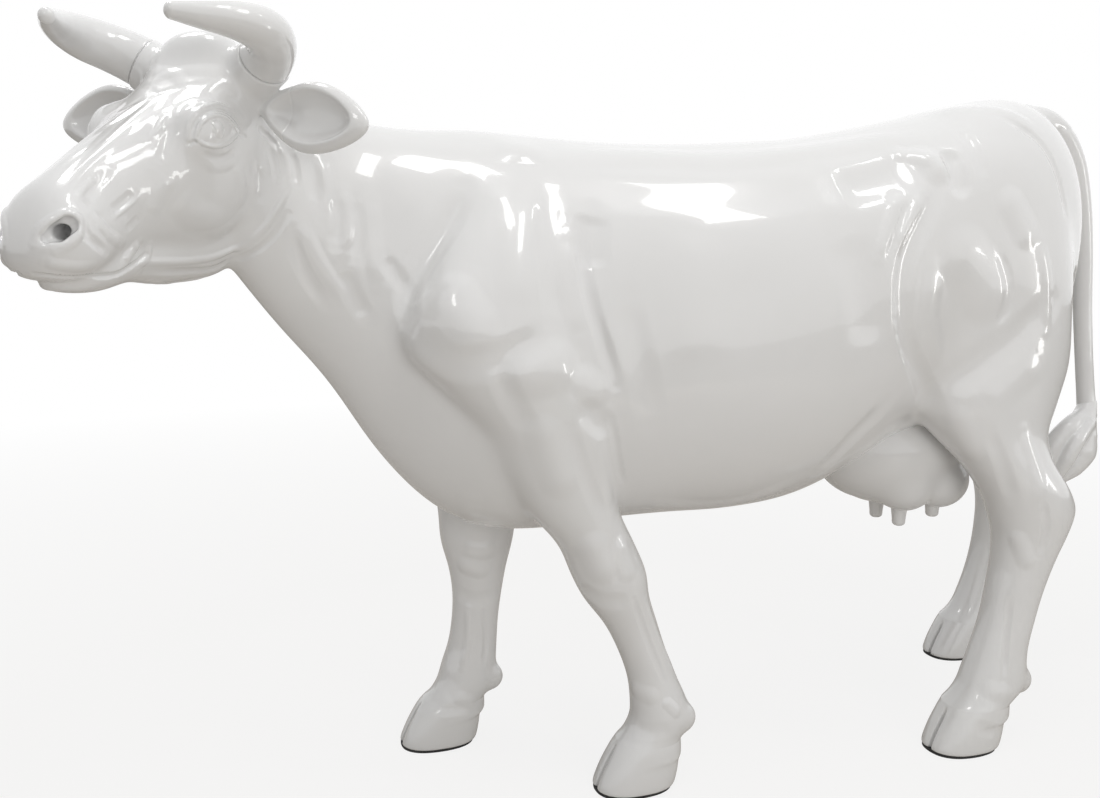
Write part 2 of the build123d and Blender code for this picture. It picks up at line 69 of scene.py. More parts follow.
# Where the picture was taken from, and its frame in pixels
cameraSettings = {
    "place": (-0.45, -2.02, 1.117),
    "yaw": 18.35,
    "pitch": -7.93,
    "focal": 1000.0,
    "width": 1100,
    "height": 798,
}


def cameraAxes():
    yaw, pitch = math.radians(cameraSettings["yaw"]), math.radians(cameraSettings["pitch"])
    ahead = np.array([math.sin(yaw) * math.cos(pitch), math.cos(yaw) * math.cos(pitch), math.sin(pitch)])
    right = np.array([math.cos(yaw), -math.sin(yaw), 0.0])
    return ahead, right, np.cross(right, ahead)


def pixelRays(spots):
    # Directions from the camera through places in the picture
    ahead, right, up = cameraAxes()
    spots = np.asarray(spots, float)
    across = (spots[:, :1] - cameraSettings["width"] / 2) / cameraSettings["focal"]
    rise = (cameraSettings["height"] / 2 - spots[:, 1:2]) / cameraSettings["focal"]
    rays = ahead + across * right + rise * up
    return rays / np.linalg.norm(rays, axis=1)[:, None]


# Small tools for smooth shapes

def eased(s, first, last, leanFirst, leanLast):
    # From first to last while s runs from 0 to 1, with the given lean at each end
    return ((2 * s**3 - 3 * s**2 + 1) * first + (s**3 - 2 * s**2 + s) * leanFirst
            + (3 * s**2 - 2 * s**3) * last + (s**3 - s**2) * leanLast)


def softMin(a, b, blend):
    h = np.maximum(blend - np.abs(a - b), 0) / blend
    return np.minimum(a, b) - h * h * h * blend / 6


def softMax(a, b, blend):
    return -softMin(-a, -b, blend)


def smoothRow(places, values, soften=0.012, step=0.0005):
    # Given values along a line, eased into one smooth run
    places, values = np.asarray(places, float), np.asarray(values, float)
    if places[0] > places[-1]:
        places, values = places[::-1], values[::-1]
    grid = np.arange(places[0], places[-1] + step, step)
    gap = np.diff(places)
    slope = np.diff(values) / gap
    lean = np.empty(len(places))
    lean[0], lean[-1] = slope[0], slope[-1]
    lean[1:-1] = (slope[:-1] * gap[1:] + slope[1:] * gap[:-1]) / (gap[:-1] + gap[1:])
    i = np.clip(np.searchsorted(places, grid, side="right") - 1, 0, len(places) - 2)
    s = np.clip((grid - places[i]) / gap[i], 0, 1)
    run = eased(s, values[i], values[i + 1], gap[i] * lean[i], gap[i] * lean[i + 1])
    reach = int(3 * soften / step)
    weight = np.exp(-0.5 * (np.arange(-reach, reach + 1) * step / soften) ** 2)
    # the ends keep their slope while the run is softened
    front = run[0] - (run[1:reach + 1][::-1] - run[0])
    back = run[-1] - (run[-reach - 1:-1][::-1] - run[-1])
    run = np.convolve(np.concatenate([front, run, back]), weight / weight.sum(), mode="valid")
    return grid, run


def splineThrough(points, parts=6):
    # A smooth line through a few places
    points = np.asarray(points, float)
    if len(points) < 3:
        return np.array([points[0] + (points[-1] - points[0]) * t for t in np.linspace(0, 1, parts + 1)])
    lean = np.empty_like(points)
    lean[1:-1] = (points[2:] - points[:-2]) / 2
    lean[0], lean[-1] = points[1] - points[0], points[-1] - points[-2]
    line = [eased(s, points[i], points[i + 1], lean[i], lean[i + 1])
            for i in range(len(points) - 1) for s in np.linspace(0, 1, parts, endpoint=False)]
    return np.array(line + [points[-1]])


def stretches(p, line):
    # For each stretch of a line: its number, how far along it the nearest place is, and the squared distance to it
    for i in range(len(line) - 1):
        step = line[i + 1] - line[i]
        t = np.clip(((p - line[i]) @ step) / (step @ step + 1e-12), 0, 1)
        gap = p - line[i] - t[:, None] * step
        yield i, t, np.einsum("ij,ij->i", gap, gap)


def nearLine(p, line):
    # Distance to a line of points, and how far along it the nearest place is
    best, along = np.full(len(p), 1e9), np.zeros(len(p))
    for i, t, reach in stretches(p, line):
        nearer = reach < best
        best = np.where(nearer, reach, best)
        along = np.where(nearer, (i + t) / (len(line) - 1), along)
    return np.sqrt(best), along


def egg(p, centre, sizes, turn=None):
    # Roughly the distance to an ellipsoid
    d = p - np.asarray(centre)
    if turn is not None:
        d = d @ turn
    sizes = np.asarray(sizes, float)
    near = np.sqrt(((d / sizes) ** 2).sum(1)) + 1e-9
    far = np.sqrt(((d / (sizes * sizes)) ** 2).sum(1)) + 1e-9
    return near * (near - 1) / far


def ovalGap(u, v, a, b, power):
    # Signed distance, along the radius, to a rounded box or oval
    rho = np.sqrt(u * u + v * v) + 1e-9
    q = (np.abs(u / a) ** power + np.abs(v / b) ** power) ** (1 / power) + 1e-9
    return rho * (1 - 1 / q)


def tubeField(p, line, radii):
    # A round tube whose thickness changes along a line
    best = np.full(len(p), 1e9)
    for i, t, reach in stretches(p, line):
        best = np.minimum(best, np.sqrt(reach) - (radii[i] + (radii[i + 1] - radii[i]) * t))
    return best


def barrelField(along, u, v, half, height, power, ends, blend):
    # A body drawn out along one direction. Each end is where it starts to close, where it is shut and how round it is
    total = ((np.abs(u / half) ** power + np.abs(v / height) ** power) ** (1 / power)) ** blend
    reach = u * u + v * v
    for start, shut, endPower in ends:
        share = np.clip((along - start) / (shut - start), 0, 3)
        total = total + share**endPower
        reach = reach + (share * (shut - start)) ** 2
    return np.sqrt(reach) * (1 - 1 / (total ** (1 / blend) + 1e-9))


def grown(low, high, margin):
    return np.array(low) - margin, np.array(high) + margin


def linked(name, data):
    thing = bpy.data.objects.new(name, data)
    bpy.context.scene.collection.objects.link(thing)
    return thing


# The body: place along the back, top, bottom, half width, level of the widest place, sideways place of the
# middle, roundness above and below
trunkSettings = {
    "rows": [
        (-0.50, 1.400, 1.150, 0.080, 1.300, -0.150, 2.0, 2.0),
        (-0.46, 1.402, 1.110, 0.086, 1.280, -0.130, 2.0, 2.0),
        (-0.40, 1.404, 1.055, 0.094, 1.250, -0.100, 2.0, 2.0),
        (-0.34, 1.400, 0.990, 0.100, 1.225, -0.075, 2.0, 2.0),
        (-0.25, 1.387, 0.882, 0.112, 1.160, -0.045, 2.0, 2.0),
        (-0.16, 1.376, 0.742, 0.132, 1.070, -0.020, 2.0, 2.0),
        (-0.06, 1.371, 0.628, 0.175, 0.970, -0.006, 2.0, 2.1),
        (0.04, 1.375, 0.566, 0.215, 0.920, 0.000, 2.0, 2.2),
        (0.16, 1.369, 0.550, 0.240, 0.880, 0.000, 2.0, 2.3),
        (0.30, 1.361, 0.560, 0.268, 0.880, 0.000, 2.1, 2.2),
        (0.45, 1.361, 0.564, 0.296, 0.900, 0.000, 2.2, 2.2),
        (0.60, 1.369, 0.563, 0.312, 0.920, 0.000, 2.3, 2.2),
        (0.75, 1.381, 0.580, 0.312, 0.960, 0.000, 2.4, 2.2),
        (0.88, 1.403, 0.625, 0.296, 1.020, 0.000, 2.5, 2.2),
        (1.02, 1.432, 0.690, 0.276, 1.120, 0.000, 2.6, 2.2),
        (1.16, 1.466, 0.720, 0.262, 1.180, 0.000, 2.5, 2.2),
        (1.30, 1.493, 0.760, 0.235, 1.180, 0.000, 2.3, 2.2),
        (1.44, 1.498, 0.800, 0.195, 1.180, 0.000, 2.1, 2.2),
        (1.60, 1.500, 0.840, 0.150, 1.180, 0.000, 2.0, 2.2),
    ],
    "ends": ((1.30, 1.575, 2.4), (-0.30, -0.50, 2.4)),
    "roundness": 2.4,
}

# Legs, from the top down: height, place along the back, sideways, half depth, half breadth
legSettings = {
    "foreleg_left": [
        (1.30, 0.120, -0.075, 0.040, 0.035), (1.22, 0.105, -0.115, 0.085, 0.065), (1.12, 0.075, -0.150, 0.130, 0.088),
        (1.02, 0.045, -0.168, 0.160, 0.102), (0.94, 0.055, -0.175, 0.168, 0.105), (0.86, 0.110, -0.178, 0.148, 0.100),
        (0.78, 0.153, -0.180, 0.118, 0.090), (0.70, 0.178, -0.179, 0.103, 0.082), (0.62, 0.212, -0.176, 0.090, 0.074),
        (0.54, 0.264, -0.172, 0.078, 0.068), (0.48, 0.290, -0.170, 0.078, 0.070), (0.43, 0.307, -0.168, 0.069, 0.064),
        (0.37, 0.340, -0.167, 0.056, 0.052), (0.30, 0.370, -0.166, 0.050, 0.047), (0.24, 0.393, -0.165, 0.052, 0.048),
        (0.19, 0.408, -0.165, 0.060, 0.056), (0.15, 0.412, -0.165, 0.064, 0.060), (0.105, 0.388, -0.163, 0.066, 0.058),
    ],
    "foreleg_right": [
        (1.30, 0.100, 0.075, 0.040, 0.035), (1.22, 0.075, 0.115, 0.085, 0.065), (1.12, 0.030, 0.150, 0.130, 0.088),
        (1.02, -0.015, 0.168, 0.160, 0.102), (0.94, -0.010, 0.175, 0.168, 0.105), (0.86, 0.035, 0.178, 0.148, 0.100),
        (0.78, 0.068, 0.180, 0.118, 0.090), (0.70, 0.085, 0.179, 0.103, 0.082), (0.62, 0.095, 0.176, 0.095, 0.076),
        (0.54, 0.100, 0.173, 0.090, 0.073), (0.48, 0.098, 0.171, 0.084, 0.071), (0.41, 0.098, 0.170, 0.066, 0.060),
        (0.36, 0.097, 0.170, 0.058, 0.052), (0.29, 0.091, 0.170, 0.054, 0.048), (0.23, 0.084, 0.170, 0.057, 0.050),
        (0.18, 0.074, 0.170, 0.064, 0.056), (0.14, 0.066, 0.170, 0.068, 0.060), (0.105, 0.040, 0.168, 0.068, 0.058),
    ],
    "hindleg_left": [
        (1.38, 1.200, -0.110, 0.110, 0.070), (1.26, 1.210, -0.125, 0.185, 0.112), (1.12, 1.200, -0.138, 0.235, 0.133),
        (0.98, 1.205, -0.145, 0.240, 0.130), (0.87, 1.215, -0.155, 0.220, 0.122), (0.79, 1.210, -0.172, 0.185, 0.110),
        (0.72, 1.220, -0.190, 0.138, 0.096), (0.66, 1.250, -0.210, 0.110, 0.087), (0.60, 1.290, -0.225, 0.106, 0.084),
        (0.55, 1.312, -0.230, 0.105, 0.080), (0.50, 1.312, -0.232, 0.090, 0.072), (0.44, 1.298, -0.233, 0.074, 0.064),
        (0.37, 1.278, -0.234, 0.066, 0.058), (0.29, 1.258, -0.235, 0.063, 0.055), (0.22, 1.238, -0.236, 0.067, 0.057),
        (0.17, 1.228, -0.237, 0.076, 0.062), (0.14, 1.220, -0.238, 0.080, 0.064), (0.105, 1.182, -0.240, 0.076, 0.062),
    ],
    "hindleg_right": [
        (1.38, 1.215, 0.110, 0.110, 0.070), (1.26, 1.235, 0.125, 0.185, 0.112), (1.12, 1.260, 0.138, 0.235, 0.133),
        (0.98, 1.300, 0.145, 0.225, 0.130), (0.87, 1.370, 0.155, 0.185, 0.118), (0.79, 1.430, 0.172, 0.155, 0.105),
        (0.72, 1.490, 0.190, 0.125, 0.092), (0.66, 1.550, 0.205, 0.108, 0.086), (0.60, 1.605, 0.215, 0.104, 0.084),
        (0.55, 1.640, 0.220, 0.100, 0.080), (0.50, 1.655, 0.222, 0.088, 0.072), (0.44, 1.655, 0.223, 0.074, 0.064),
        (0.37, 1.645, 0.223, 0.066, 0.058), (0.29, 1.630, 0.223, 0.063, 0.055), (0.22, 1.615, 0.223, 0.067, 0.057),
        (0.17, 1.605, 0.223, 0.076, 0.062), (0.14, 1.595, 0.223, 0.080, 0.064), (0.105, 1.557, 0.224, 0.076, 0.062),
    ],
}

# Hooves: middle of each, then one set of sizes
hoofSettings = {
    "foreleg_left": (0.352, -0.162),
    "foreleg_right": (-0.004, 0.168),
    "hindleg_left": (1.140, -0.240),
    "hindleg_right": (1.515, 0.225),
    "halfLength": 0.0885,
    "halfBreadth": 0.065,
    "height": 0.105,
    "padHeight": 0.006,
    "cleftDepth": 0.016,
    "cleftWidth": 0.0065,
}

# The head in its own frame, before its scale: along from the poll to the muzzle, top, bottom, half breadth,
# widest level, roundness above and below
headSettings = {
    "place": (-0.449, -0.126, 1.474),
    "turn": 49.9,
    "dip": 33.85,
    "roll": 3.2,
    "scale": 1.06,
    "skull": [
        (-0.040, 0.014, -0.120, 0.050, -0.065, 2.2, 2.0),
        (-0.025, 0.031, -0.160, 0.078, -0.065, 2.3, 2.0),
        (0.020, 0.038, -0.210, 0.095, -0.070, 2.5, 2.0),
        (0.080, 0.010, -0.245, 0.102, -0.085, 2.5, 2.1),
        (0.140, -0.003, -0.255, 0.106, -0.095, 2.5, 2.2),
        (0.200, -0.005, -0.245, 0.101, -0.100, 2.4, 2.2),
        (0.260, -0.003, -0.220, 0.086, -0.095, 2.2, 2.2),
        (0.320, -0.001, -0.185, 0.070, -0.085, 2.0, 2.2),
        (0.380, -0.001, -0.155, 0.0625, -0.080, 2.0, 2.2),
        (0.430, -0.005, -0.145, 0.0715, -0.080, 2.2, 2.3),
        (0.465, -0.016, -0.135, 0.076, -0.081, 2.4, 2.4),
        (0.500, -0.030, -0.125, 0.074, -0.081, 2.4, 2.4),
    ],
    "jaw": [
        (0.040, -0.120, -0.270, 0.045), (0.100, -0.130, -0.300, 0.057), (0.160, -0.140, -0.306, 0.062),
        (0.220, -0.130, -0.293, 0.060), (0.270, -0.120, -0.265, 0.055), (0.320, -0.110, -0.236, 0.050),
        (0.370, -0.100, -0.198, 0.048), (0.410, -0.100, -0.180, 0.052), (0.440, -0.100, -0.168, 0.055),
        (0.482, -0.100, -0.150, 0.050),
    ],
    "skullEnds": ((0.405, 0.507, 2.6), (0.030, -0.045, 2.4)),
    "skullRoundness": 2.4,
    "jawEnds": ((0.410, 0.484, 2.3), (0.130, 0.035, 2.3)),
    "jawRoundness": 2.3,
    "eye": (0.172, 0.092, -0.052),
    "eyeRadius": 0.027,
}

hornSettings = {
    "path": [
        (0.025, 0.075, -0.040), (0.018, 0.120, -0.010), (0.034, 0.154, 0.022), (0.062, 0.172, 0.052),
        (0.090, 0.170, 0.076), (0.118, 0.156, 0.096), (0.145, 0.136, 0.113), (0.170, 0.113, 0.130),
    ],
    "radii": (0.047, 0.0451, 0.0410, 0.0378, 0.0322, 0.0262, 0.0200, 0.0132),
    "steps": 24, "around": 72, "pegLength": 0.030, "pegRadius": 0.020, "tipLength": 0.9, "tipRings": 15,
}

earSettings = {
    "root": (0.050, 0.125, -0.081),
    "tip": (0.066, 0.304, -0.098),
    "facing": (0.765, 0.010, 0.643),
    "length": 0.212,
    "height": 0.120,
    "thickness": 0.042,
    "hollows": [((-0.006, 0, 0.021), (0.086, 0.046, 0.027)), ((-0.046, 0, 0.014), (0.036, 0.026, 0.021))],
}

tailSettings = {
    "path": [
        (1.440, 0.000, 1.458), (1.500, 0.000, 1.452), (1.556, 0.000, 1.418), (1.602, 0.000, 1.350),
        (1.632, 0.000, 1.250), (1.652, 0.000, 1.130), (1.664, 0.000, 1.000), (1.674, -0.005, 0.880),
        (1.684, -0.010, 0.780), (1.690, -0.015, 0.715),
    ],
    "radii": (0.0320, 0.0320, 0.0310, 0.0294, 0.0269, 0.0240, 0.0222, 0.0214, 0.0216, 0.0235),
    "strands": [
        {"path": [(1.690, -0.015, 0.745), (1.672, -0.022, 0.708), (1.655, -0.025, 0.664), (1.650, -0.026, 0.628),
                  (1.628, -0.028, 0.596), (1.597, -0.027, 0.566), (1.573, -0.022, 0.529)],
         "radii": (0.0215, 0.0300, 0.0440, 0.0480, 0.0390, 0.0250, 0.0090)},
        {"path": [(1.676, -0.022, 0.724), (1.612, -0.040, 0.697), (1.577, -0.034, 0.657), (1.560, -0.028, 0.613),
                  (1.556, -0.026, 0.570), (1.562, -0.024, 0.533)],
         "radii": (0.0180, 0.0230, 0.0260, 0.0255, 0.0200, 0.0090)},
        {"path": [(1.660, -0.050, 0.700), (1.612, -0.060, 0.660), (1.588, -0.056, 0.615), (1.574, -0.044, 0.572),
                  (1.568, -0.032, 0.536)],
         "radii": (0.0160, 0.0220, 0.0220, 0.0170, 0.0080)},
    ],
}

udderSettings = {
    "middle": (1.090, 0.0, 0.665),
    "half": (0.195, 0.140, 0.135),
    "teats": [(1.093, -0.048, 0.479), (1.096, 0.044, 0.477), (1.191, -0.046, 0.493), (1.214, 0.053, 0.493)],
    "bulge": (0.075, 0.062, 0.068),
    "bulgeLevel": 0.590,
    "groove": 0.008,
    "grooveHalf": 0.020,
}


def headFrame():
    turn, dip, roll = (math.radians(headSettings[key]) for key in ("turn", "dip", "roll"))
    ahead = np.array([-math.cos(turn), -math.sin(turn), 0.0])
    left = np.array([math.sin(turn), -math.cos(turn), 0.0])
    up = np.array([0.0, 0.0, 1.0])
    axis = ahead * math.cos(dip) - up * math.sin(dip)
    out = ahead * math.sin(dip) + up * math.cos(dip)
    side = left * math.cos(roll) - out * math.sin(roll)
    return np.stack([axis, side, out * math.cos(roll) + left * math.sin(roll)], 1)


headTurn = headFrame()
headPlace = np.array(headSettings["place"])


def toHead(p):
    return ((p - headPlace) @ headTurn) / headSettings["scale"]


def fromHead(p):
    return headPlace + (np.asarray(p, float) * headSettings["scale"]) @ headTurn.T


def columns(rows, soften=0.012, order=0):
    # Each column of a table of rows as a smooth run along the ordering column
    rows = np.array(rows, float)
    return [smoothRow(rows[:, order], rows[:, k], soften) for k in range(rows.shape[1]) if k != order]


trunkRuns = columns(trunkSettings["rows"], 0.02)
legRuns = {leg: columns(rows, 0.012) for leg, rows in legSettings.items()}
skullRuns = columns(headSettings["skull"], 0.008)
jawRuns = columns(headSettings["jaw"], 0.008)


def trunkField(p):
    x, y, z = p.T
    top, bottom, half, level, middle, above, below = (np.interp(x, *run) for run in trunkRuns)
    v = z - level
    height = np.where(v > 0, top - level, level - bottom)
    power = np.where(v > 0, above, below)
    return barrelField(x, y - middle, v, half, height, power, trunkSettings["ends"], trunkSettings["roundness"])


def legField(p, leg):
    x, y, z = p.T
    cx, cy, a, b = (np.interp(z, *run) for run in legRuns[leg])
    f = ovalGap(x - cx, y - cy, a, b, 2.1)
    top, bottom = legSettings[leg][0][0], legSettings[leg][-1][0]
    slim = np.minimum(a, b)
    over = np.maximum(z - top, 0)
    f = np.where(z > top, np.sqrt(np.maximum(f + slim, 0) ** 2 + over**2) - slim, f)
    return softMax(f, bottom - 0.03 - z, 0.01)


def hoofField(p, leg):
    # Horn wall that leans back from the toe, with a cleft between the two claws and a soft rim on top
    cx, cy = hoofSettings[leg]
    x, y, z = p[:, 0] - cx, p[:, 1] - cy, p[:, 2]
    height = hoofSettings["height"]
    t = np.clip(z / height, 0, 1.15)
    # the wall swells a little above the ground and rounds in towards the coronet
    swell = 0.030 * np.sin(math.pi * np.clip(t, 0, 1)) - 0.035 * np.clip(1 - t / 0.18, 0, 1) ** 2
    a = hoofSettings["halfLength"] * (1 - 0.24 * t**1.4 + swell)
    b = hoofSettings["halfBreadth"] * (1 - 0.10 * t**1.4 + 1.6 * swell)
    f = ovalGap(x - 0.033 * t, y, a, b, 2.4)
    toe = np.clip((0.015 - x) / 0.03, 0, 1)
    heel = np.clip((x - 0.045) / 0.02, 0, 1)
    groove = np.clip(1 - np.abs(y) / hoofSettings["cleftWidth"], 0, 1)
    groove = groove * groove * (3 - 2 * groove)
    low = np.clip((0.100 - z) / 0.03, 0, 1)
    f = f + groove * low * (toe * hoofSettings["cleftDepth"] + heel * 0.010)
    f = f + 0.004 * np.clip(1 - np.abs(y) / 0.022, 0, 1) ** 2 * low * toe
    f = softMax(f, hoofSettings["padHeight"] - z, 0.006)
    return softMax(f, z - height, 0.03)


def skullField(h):
    x, y, z = h.T
    top, bottom, half, level, above, below = (np.interp(x, *run) for run in skullRuns)
    v = z - level
    height = np.where(v > 0, top - level, level - bottom)
    power = np.where(v > 0, above, below)
    return barrelField(x, y, v, half, height, power, headSettings["skullEnds"], headSettings["skullRoundness"])


def jawField(h):
    x, y, z = h.T
    top, bottom, half = (np.interp(x, *run) for run in jawRuns)
    roundness = headSettings["jawRoundness"]
    return barrelField(x, y, z - (top + bottom) / 2, half, (top - bottom) / 2, roundness, headSettings["jawEnds"],
                       roundness)


def sideways(points, side):
    # Head places mirrored for the right side
    points = np.array(points, float)
    points[..., 1] *= side
    return points


def bossField(p, side):
    # Low collar of the skull that a horn stands on
    line = fromHead(sideways(hornSettings["path"], side))[:3]
    radii = np.array(hornSettings["radii"][:3]) + 0.0015
    f = tubeField(p, line, radii)
    heading = line[2] - line[0]
    return softMax(f, (p - line[1]) @ (heading / np.linalg.norm(heading)), 0.004)


def headField(p):
    h = toHead(p)
    return softMin(skullField(h), jawField(h), 0.014) * headSettings["scale"]


def earTurn(side):
    # Root, tip and own directions of an ear
    root, tip = fromHead(sideways(earSettings["root"], side)), fromHead(sideways(earSettings["tip"], side))
    along = (tip - root) / np.linalg.norm(tip - root)
    facing = headTurn @ sideways(earSettings["facing"], side)
    facing -= along * (facing @ along)
    facing /= np.linalg.norm(facing)
    return root, tip, np.stack([along, np.cross(facing, along), facing], 1)


def earField(p, side):
    # A leaf with a thick rolled rim and a deep hollow that faces forward
    root, tip, turn = earFrames[side]
    halfLength, halfHeight = earSettings["length"] / 2, earSettings["height"] / 2
    l = (p - tip + turn[:, 0] * halfLength) @ turn
    along = l[:, 0] / halfLength
    # narrower at the root, pointed at the tip
    width = 1 - 0.42 * np.clip(-along, 0, 1) ** 2 - 0.30 * np.clip(along, 0, 1) ** 1.5
    q = np.stack([l[:, 0], l[:, 1] / width, l[:, 2]], 1)
    f = egg(q, (0, 0, 0), (halfLength, halfHeight, earSettings["thickness"] / 2))
    for middle, half in earSettings["hollows"]:
        f = softMax(f, -egg(q, middle, half), 0.008)
    return f


def fromRoot(p, side):
    # How far along its ear each place is
    root, tip, turn = earFrames[side]
    return (p - root) @ turn[:, 0]


earFrames = {side: earTurn(side) for side in (1, -1)}
tailLine = splineThrough(tailSettings["path"], 6)
tailRadii = np.interp(np.linspace(0, 1, len(tailLine)), np.linspace(0, 1, len(tailSettings["radii"])),
                      tailSettings["radii"])


def tailField(p):
    return tubeField(p, tailLine, tailRadii)


def udderField(p):
    f = egg(p, udderSettings["middle"], udderSettings["half"])
    for x, y, z in udderSettings["teats"]:
        f = softMin(f, egg(p, (x, y * 1.35, udderSettings["bulgeLevel"]), udderSettings["bulge"]), 0.03)
    d = np.abs(p[:, 1]) / udderSettings["grooveHalf"]
    return f + udderSettings["groove"] * np.clip(1 - d * d, 0, 1) ** 2


def makeParts():
    # Every solid form of the animal with the box that it matters in and how softly it joins the rest
    parts = [(trunkField, *grown((-0.62, -0.36, 0.50), (1.62, 0.36, 1.55), 0.10), 0.05)]
    for leg in legSettings:
        rows = np.array(legSettings[leg])
        low = (rows[:, 1] - rows[:, 3]).min(), (rows[:, 2] - rows[:, 4]).min(), 0.06
        high = (rows[:, 1] + rows[:, 3]).max(), (rows[:, 2] + rows[:, 4]).max(), rows[0, 0] + 0.08
        parts.append((lambda p, leg=leg: legField(p, leg), *grown(low, high, 0.08), 0.05))
        cx, cy = hoofSettings[leg]
        low, high = grown((cx - 0.09, cy - 0.07, 0.0), (cx + 0.11, cy + 0.07, 0.12), 0.04)
        parts.append((lambda p, leg=leg: hoofField(p, leg), low, high, 0.028))
    corners = fromHead([(x, y, z) for x in (-0.08, 0.54) for y in (-0.17, 0.17) for z in (-0.33, 0.06)])
    parts.append((headField, *grown(corners.min(0), corners.max(0), 0.05), 0.030))
    for side in (1, -1):
        middle = fromHead(sideways(hornSettings["path"][0], side))
        parts.append((lambda p, side=side: bossField(p, side), *grown(middle, middle, 0.12), 0.022))
    return parts


# Modelled detail. Each mark is a line of picture places, laid on the surface that they show, then how far it
# stands out and how wide it is to each side, in millimetres. Body marks are repeated on the other flank, head
# marks on the other side of the face.
bodyMarks = [
    # neck and throat
    ([(309, 153), (313, 178), (316, 202)], -3.5, 20), ([(335, 197), (338, 222), (335, 245)], -3.5, 20),
    ([(356, 200), (358, 230), (352, 257)], -3.5, 20), ([(343, 270), (353, 296), (367, 318)], -4.5, 24),
    ([(384, 257), (398, 277), (410, 294)], -3.5, 22), ([(322, 160), (327, 185), (325, 215)], 3, 18),
    ([(345, 190), (349, 220), (345, 252)], 3, 18), ([(372, 200), (372, 240), (380, 285)], 3, 24),
    ([(300, 222), (318, 262), (345, 300)], 3, 20), ([(290, 235), (303, 270), (325, 305)], -3.5, 18),
    # shoulder blade and the point of the shoulder
    ([(463, 190), (447, 225), (424, 262), (410, 296), (411, 326)], -7, 36),
    ([(411, 326), (432, 352), (460, 366), (505, 358), (549, 336)], -8, 44),
    ([(500, 175), (484, 215), (458, 262), (452, 305)], 6.5, 60), ([(452, 300), (470, 325)], 8.5, 60),
    ([(520, 190), (516, 250), (520, 310)], 4.5, 50), ([(545, 195), (548, 260), (556, 320)], -3.5, 34),
    ([(592, 215), (590, 240), (592, 270)], -8, 44),
    ([(583, 221), (583, 262), (592, 306), (604, 345), (615, 385)], -6.5, 20),
    ([(571, 240), (570, 290), (580, 335)], 4.5, 30),
    # upper arm, elbow and forearm
    ([(530, 372), (556, 366)], 10, 62), ([(585, 382), (594, 390)], 7, 40), ([(588, 414), (600, 424)], -5, 36),
    ([(500, 372), (512, 402), (530, 432)], -5, 32), ([(545, 436), (560, 480)], 6, 46),
    ([(594, 425), (602, 470), (612, 510)], 3.5, 26), ([(572, 430), (586, 478), (604, 520)], -4.5, 22),
    ([(612, 420), (620, 470), (628, 515)], -3, 12),
    # near knee, cannon and pastern
    ([(594, 550), (602, 566)], 9, 46), ([(622, 550), (628, 570)], 4, 30),
    ([(588, 592), (602, 600), (618, 602)], -3, 26), ([(612, 540), (614, 565), (616, 580)], -2, 12),
    ([(634, 600), (646, 636), (664, 680)], -3.5, 11), ([(646, 600), (658, 636), (676, 676)], 3, 12),
    ([(636, 690), (650, 696)], 3, 24), ([(634, 729), (652, 732), (672, 729)], -2, 22),
    ([(668, 704), (676, 712)], 3, 16),
    # belly, ribs and loin
    ([(532, 152), (640, 156), (728, 159), (804, 151), (875, 141), (925, 136)], 6, 46),
    ([(560, 190), (660, 196), (760, 196), (830, 190)], -3, 50), ([(839, 190), (876, 182), (913, 170)], -11, 62),
    ([(845, 235), (865, 290), (868, 350)], -6, 70), ([(640, 505), (720, 505), (800, 480)], 3.5, 40),
    ([(820, 470), (850, 440), (885, 405)], -4.5, 34), ([(700, 230), (690, 300), (700, 370)], 3, 80),
    ([(625, 300), (640, 360), (652, 420)], -3.5, 40),
    # hook bone, rump and thigh
    ([(926, 160), (936, 168)], 10, 46), ([(890, 152), (912, 156), (936, 164)], 6, 26),
    ([(924, 195), (911, 220), (896, 246)], 5, 22), ([(897, 195), (889, 225), (879, 258)], 4.5, 22),
    ([(908, 200), (900, 228), (887, 256)], -3, 14), ([(952, 162), (960, 184)], -10, 36),
    ([(939, 182), (924, 220), (907, 262), (903, 304), (908, 345), (924, 388), (940, 418)], -9, 34),
    ([(965, 258), (985, 292)], 10, 80), ([(1012, 205), (1026, 232)], 7, 48),
    ([(935, 270), (930, 320), (940, 370)], 5, 36), ([(940, 392), (980, 362), (1020, 334), (1050, 300)], -6, 50),
    ([(1000, 250), (1008, 290), (1000, 330)], -3.5, 22), ([(1040, 240), (1048, 290), (1046, 330)], 4.5, 24),
    ([(985, 404), (1010, 384), (1040, 360)], 3, 50), ([(1010, 122), (1040, 142), (1058, 176), (1066, 214)], -6, 16),
    ([(980, 108), (1010, 114), (1034, 128)], 3.5, 30), ([(960, 130), (975, 150), (985, 180)], -3.5, 26),
    # stifle, gaskin and hock of the near hind leg
    ([(958, 420), (968, 450)], 5, 40), ([(990, 432), (1004, 470), (1012, 500)], -4.5, 22),
    ([(1024, 430), (1036, 470), (1040, 505)], 4.5, 24), ([(1044, 500), (1046, 530), (1040, 556)], -4.5, 14),
    ([(1018, 540), (1026, 560)], 4.5, 26), ([(1010, 600), (1006, 640), (1004, 680)], -3, 11),
    ([(990, 690), (1004, 694)], 3, 26), ([(976, 727), (996, 731), (1016, 727)], -2, 22),
]

# These follow one leg alone: the far fore leg seen from the front
farMarks = [
    ([(462, 546), (480, 552), (494, 548)], 5, 26), ([(466, 566), (480, 570)], 6, 26),
    ([(458, 592), (476, 600), (494, 594)], -3, 24), ([(468, 608), (468, 640), (462, 668)], 4, 13),
    ([(484, 606), (486, 640), (484, 664)], -4, 10), ([(438, 690), (446, 700)], 2, 20),
    ([(460, 698), (470, 702)], 2, 20), ([(430, 704), (448, 710), (472, 706)], -2, 20),
    ([(470, 500), (474, 530)], 5, 32),
]

